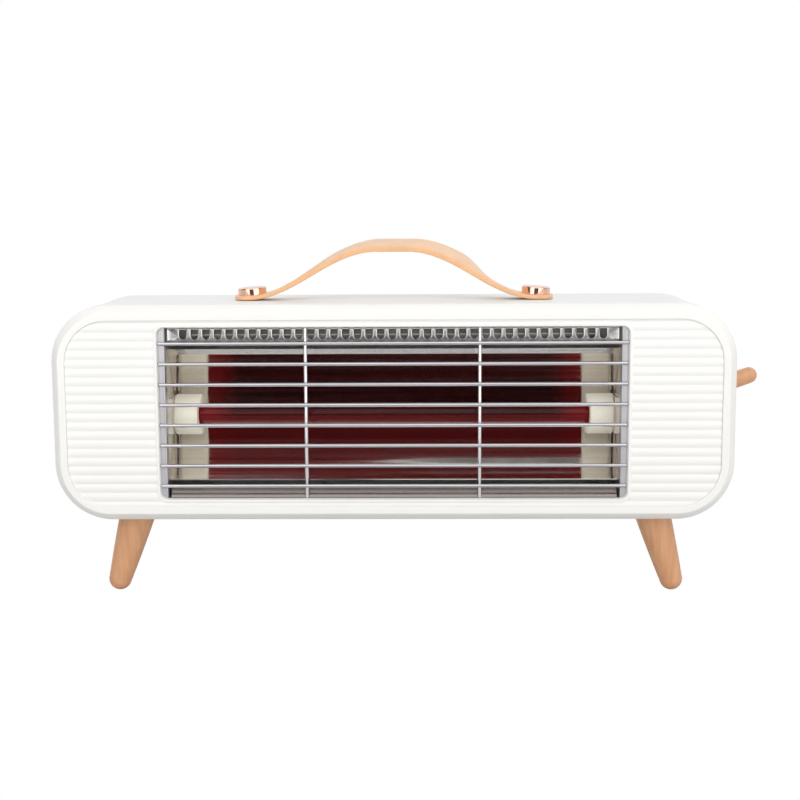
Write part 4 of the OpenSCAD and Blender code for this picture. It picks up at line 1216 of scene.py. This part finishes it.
def camera():
    data = bpy.data.cameras.new("camera")
    data.lens = CAMERA_LENS
    data.sensor_width = 36
    data.shift_x = CAMERA_SHIFT
    data.shift_y = CAMERA_RISE
    data.clip_end = 50
    obj = bpy.data.objects.new("camera", data)
    yaw = Matrix.Rotation(math.radians(CAMERA_YAW), 4, "Z")
    down = Matrix.Rotation(math.radians(90 - CAMERA_DOWN), 4, "X")
    roll = Matrix.Rotation(math.radians(CAMERA_ROLL), 4, "Z")
    place = ORIGIN + yaw @ Vector((0, -CAMERA_BACK * MM, CAMERA_UP * MM))
    obj.matrix_world = Matrix.Translation(place) @ yaw @ down @ roll
    bpy.context.scene.collection.objects.link(obj)
    bpy.context.scene.camera = obj


class Surroundings(Nodes):
    """A world whose level depends on the direction: azimuth from the front, and elevation."""

    def __init__(self, level):
        world = bpy.data.worlds.new("surroundings")
        world.use_nodes = True
        bpy.context.scene.world = world
        self.tree = world.node_tree
        self.room = self.tree.nodes["Background"]
        axes = self.node("ShaderNodeSeparateXYZ")
        self.link(self.node("ShaderNodeTexCoord").outputs["Generated"], axes.inputs[0])
        x, y, z = axes.outputs
        self.azimuth = self.maths("ARCTAN2", x, self.maths("MULTIPLY", y, -1))
        self.elevation = self.maths("ARCSINE", z)
        self.level = self.maths("ADD", level)

    def inside(self, angle, start, end, soft):
        """1 between two angles in degrees, fading to 0 outside them."""
        middle, half = math.radians(start + end) / 2, math.radians(end - start) / 2
        away = self.maths("ABSOLUTE", self.maths("SUBTRACT", angle, middle))
        fade = math.radians(soft) / 2
        return self.ramp(away, 1, 0, half - fade, half + fade, interpolation_type="SMOOTHSTEP")

    def panel(self, azimuths, elevations, level, soft=6):
        """Sets the level inside a patch of directions."""
        mask = self.maths(
            "MULTIPLY",
            self.inside(self.azimuth, *azimuths, soft),
            self.inside(self.elevation, *elevations, soft),
        )
        change = self.maths("MULTIPLY", mask, self.maths("SUBTRACT", level, self.level))
        self.level = self.maths("ADD", self.level, change)

    def finish(self):
        """Shows plain white behind the object and lights it with the panels."""
        self.link(self.level, self.room.inputs["Strength"])
        self.room.inputs["Color"].default_value = (1, 1, 1, 1)
        backdrop = self.node("ShaderNodeBackground", Color=(1, 1, 1, 1))
        choice = self.node("ShaderNodeMixShader")
        seen = self.node("ShaderNodeLightPath").outputs["Is Camera Ray"]
        for index, source in enumerate((seen, self.room.outputs[0], backdrop.outputs[0])):
            self.link(source, choice.inputs[index])
        self.link(choice.outputs[0], self.tree.nodes["World Output"].inputs["Surface"])


def studio():
    """A white tent, brightest in front and dark on the left, with a small dark opening behind the
    camera between two bright panels."""
    tent = Surroundings(0.66)
    tent.panel((-118, -50), (-40, 45), 0.15, 12)
    tent.panel((60, 118), (-40, 45), 0.42, 12)
    tent.panel((-180, 180), (55, 91), 0.76, 20)
    tent.panel((-50, 60), (-40, 62), 1.74, 12)
    tent.panel((22, 60), (-40, 50), 1.86)
    for side in (-1, 1):
        tent.panel(sorted((side * 18, side * 34)), (-7, 1), 2.6, 3)
        tent.panel(sorted((side * 100, side * 181)), (4, 50), 0.98, 6)
    tent.panel((-18, 18), (-7, 9), 0.1, 3)
    tent.finish()
    bpy.context.scene.view_settings.view_transform = "Standard"


TABLE_FRONT = 560
TABLE_BACK = 900
TABLE_HALF_W = 900


def table():
    """A matt white table that lights the object from below. The camera doesn't see it."""
    edges = ((-1, -TABLE_FRONT), (1, -TABLE_FRONT), (1, TABLE_BACK), (-1, TABLE_BACK))
    mesh = bpy.data.meshes.new("table")
    mesh.from_pydata([at(x * TABLE_HALF_W, y, -0.2) for x, y in edges], [], [(0, 1, 2, 3)])
    mesh.materials.append(plain_plastic("table_paint", (0.74, 0.74, 0.74), 0.9).material)
    obj = bpy.data.objects.new("table", mesh)
    bpy.context.scene.collection.objects.link(obj)
    obj.visible_camera = False


camera()
studio()
table()
finish_cad_nodes()
rim_moulding()
ribbed_face()
housing_shell()
housing_back()
lever_collar()
inlet_collar()
guard_wires()
guard_plates()
vent_grille()
vent_baffle()
rolled_lip()
mirror_sheet()
cavity_walls()
ruby_tube()
wound_coil()
ceramic_ends()
end_brackets()
strap()
strap_bolts()
legs()
lever_handle()
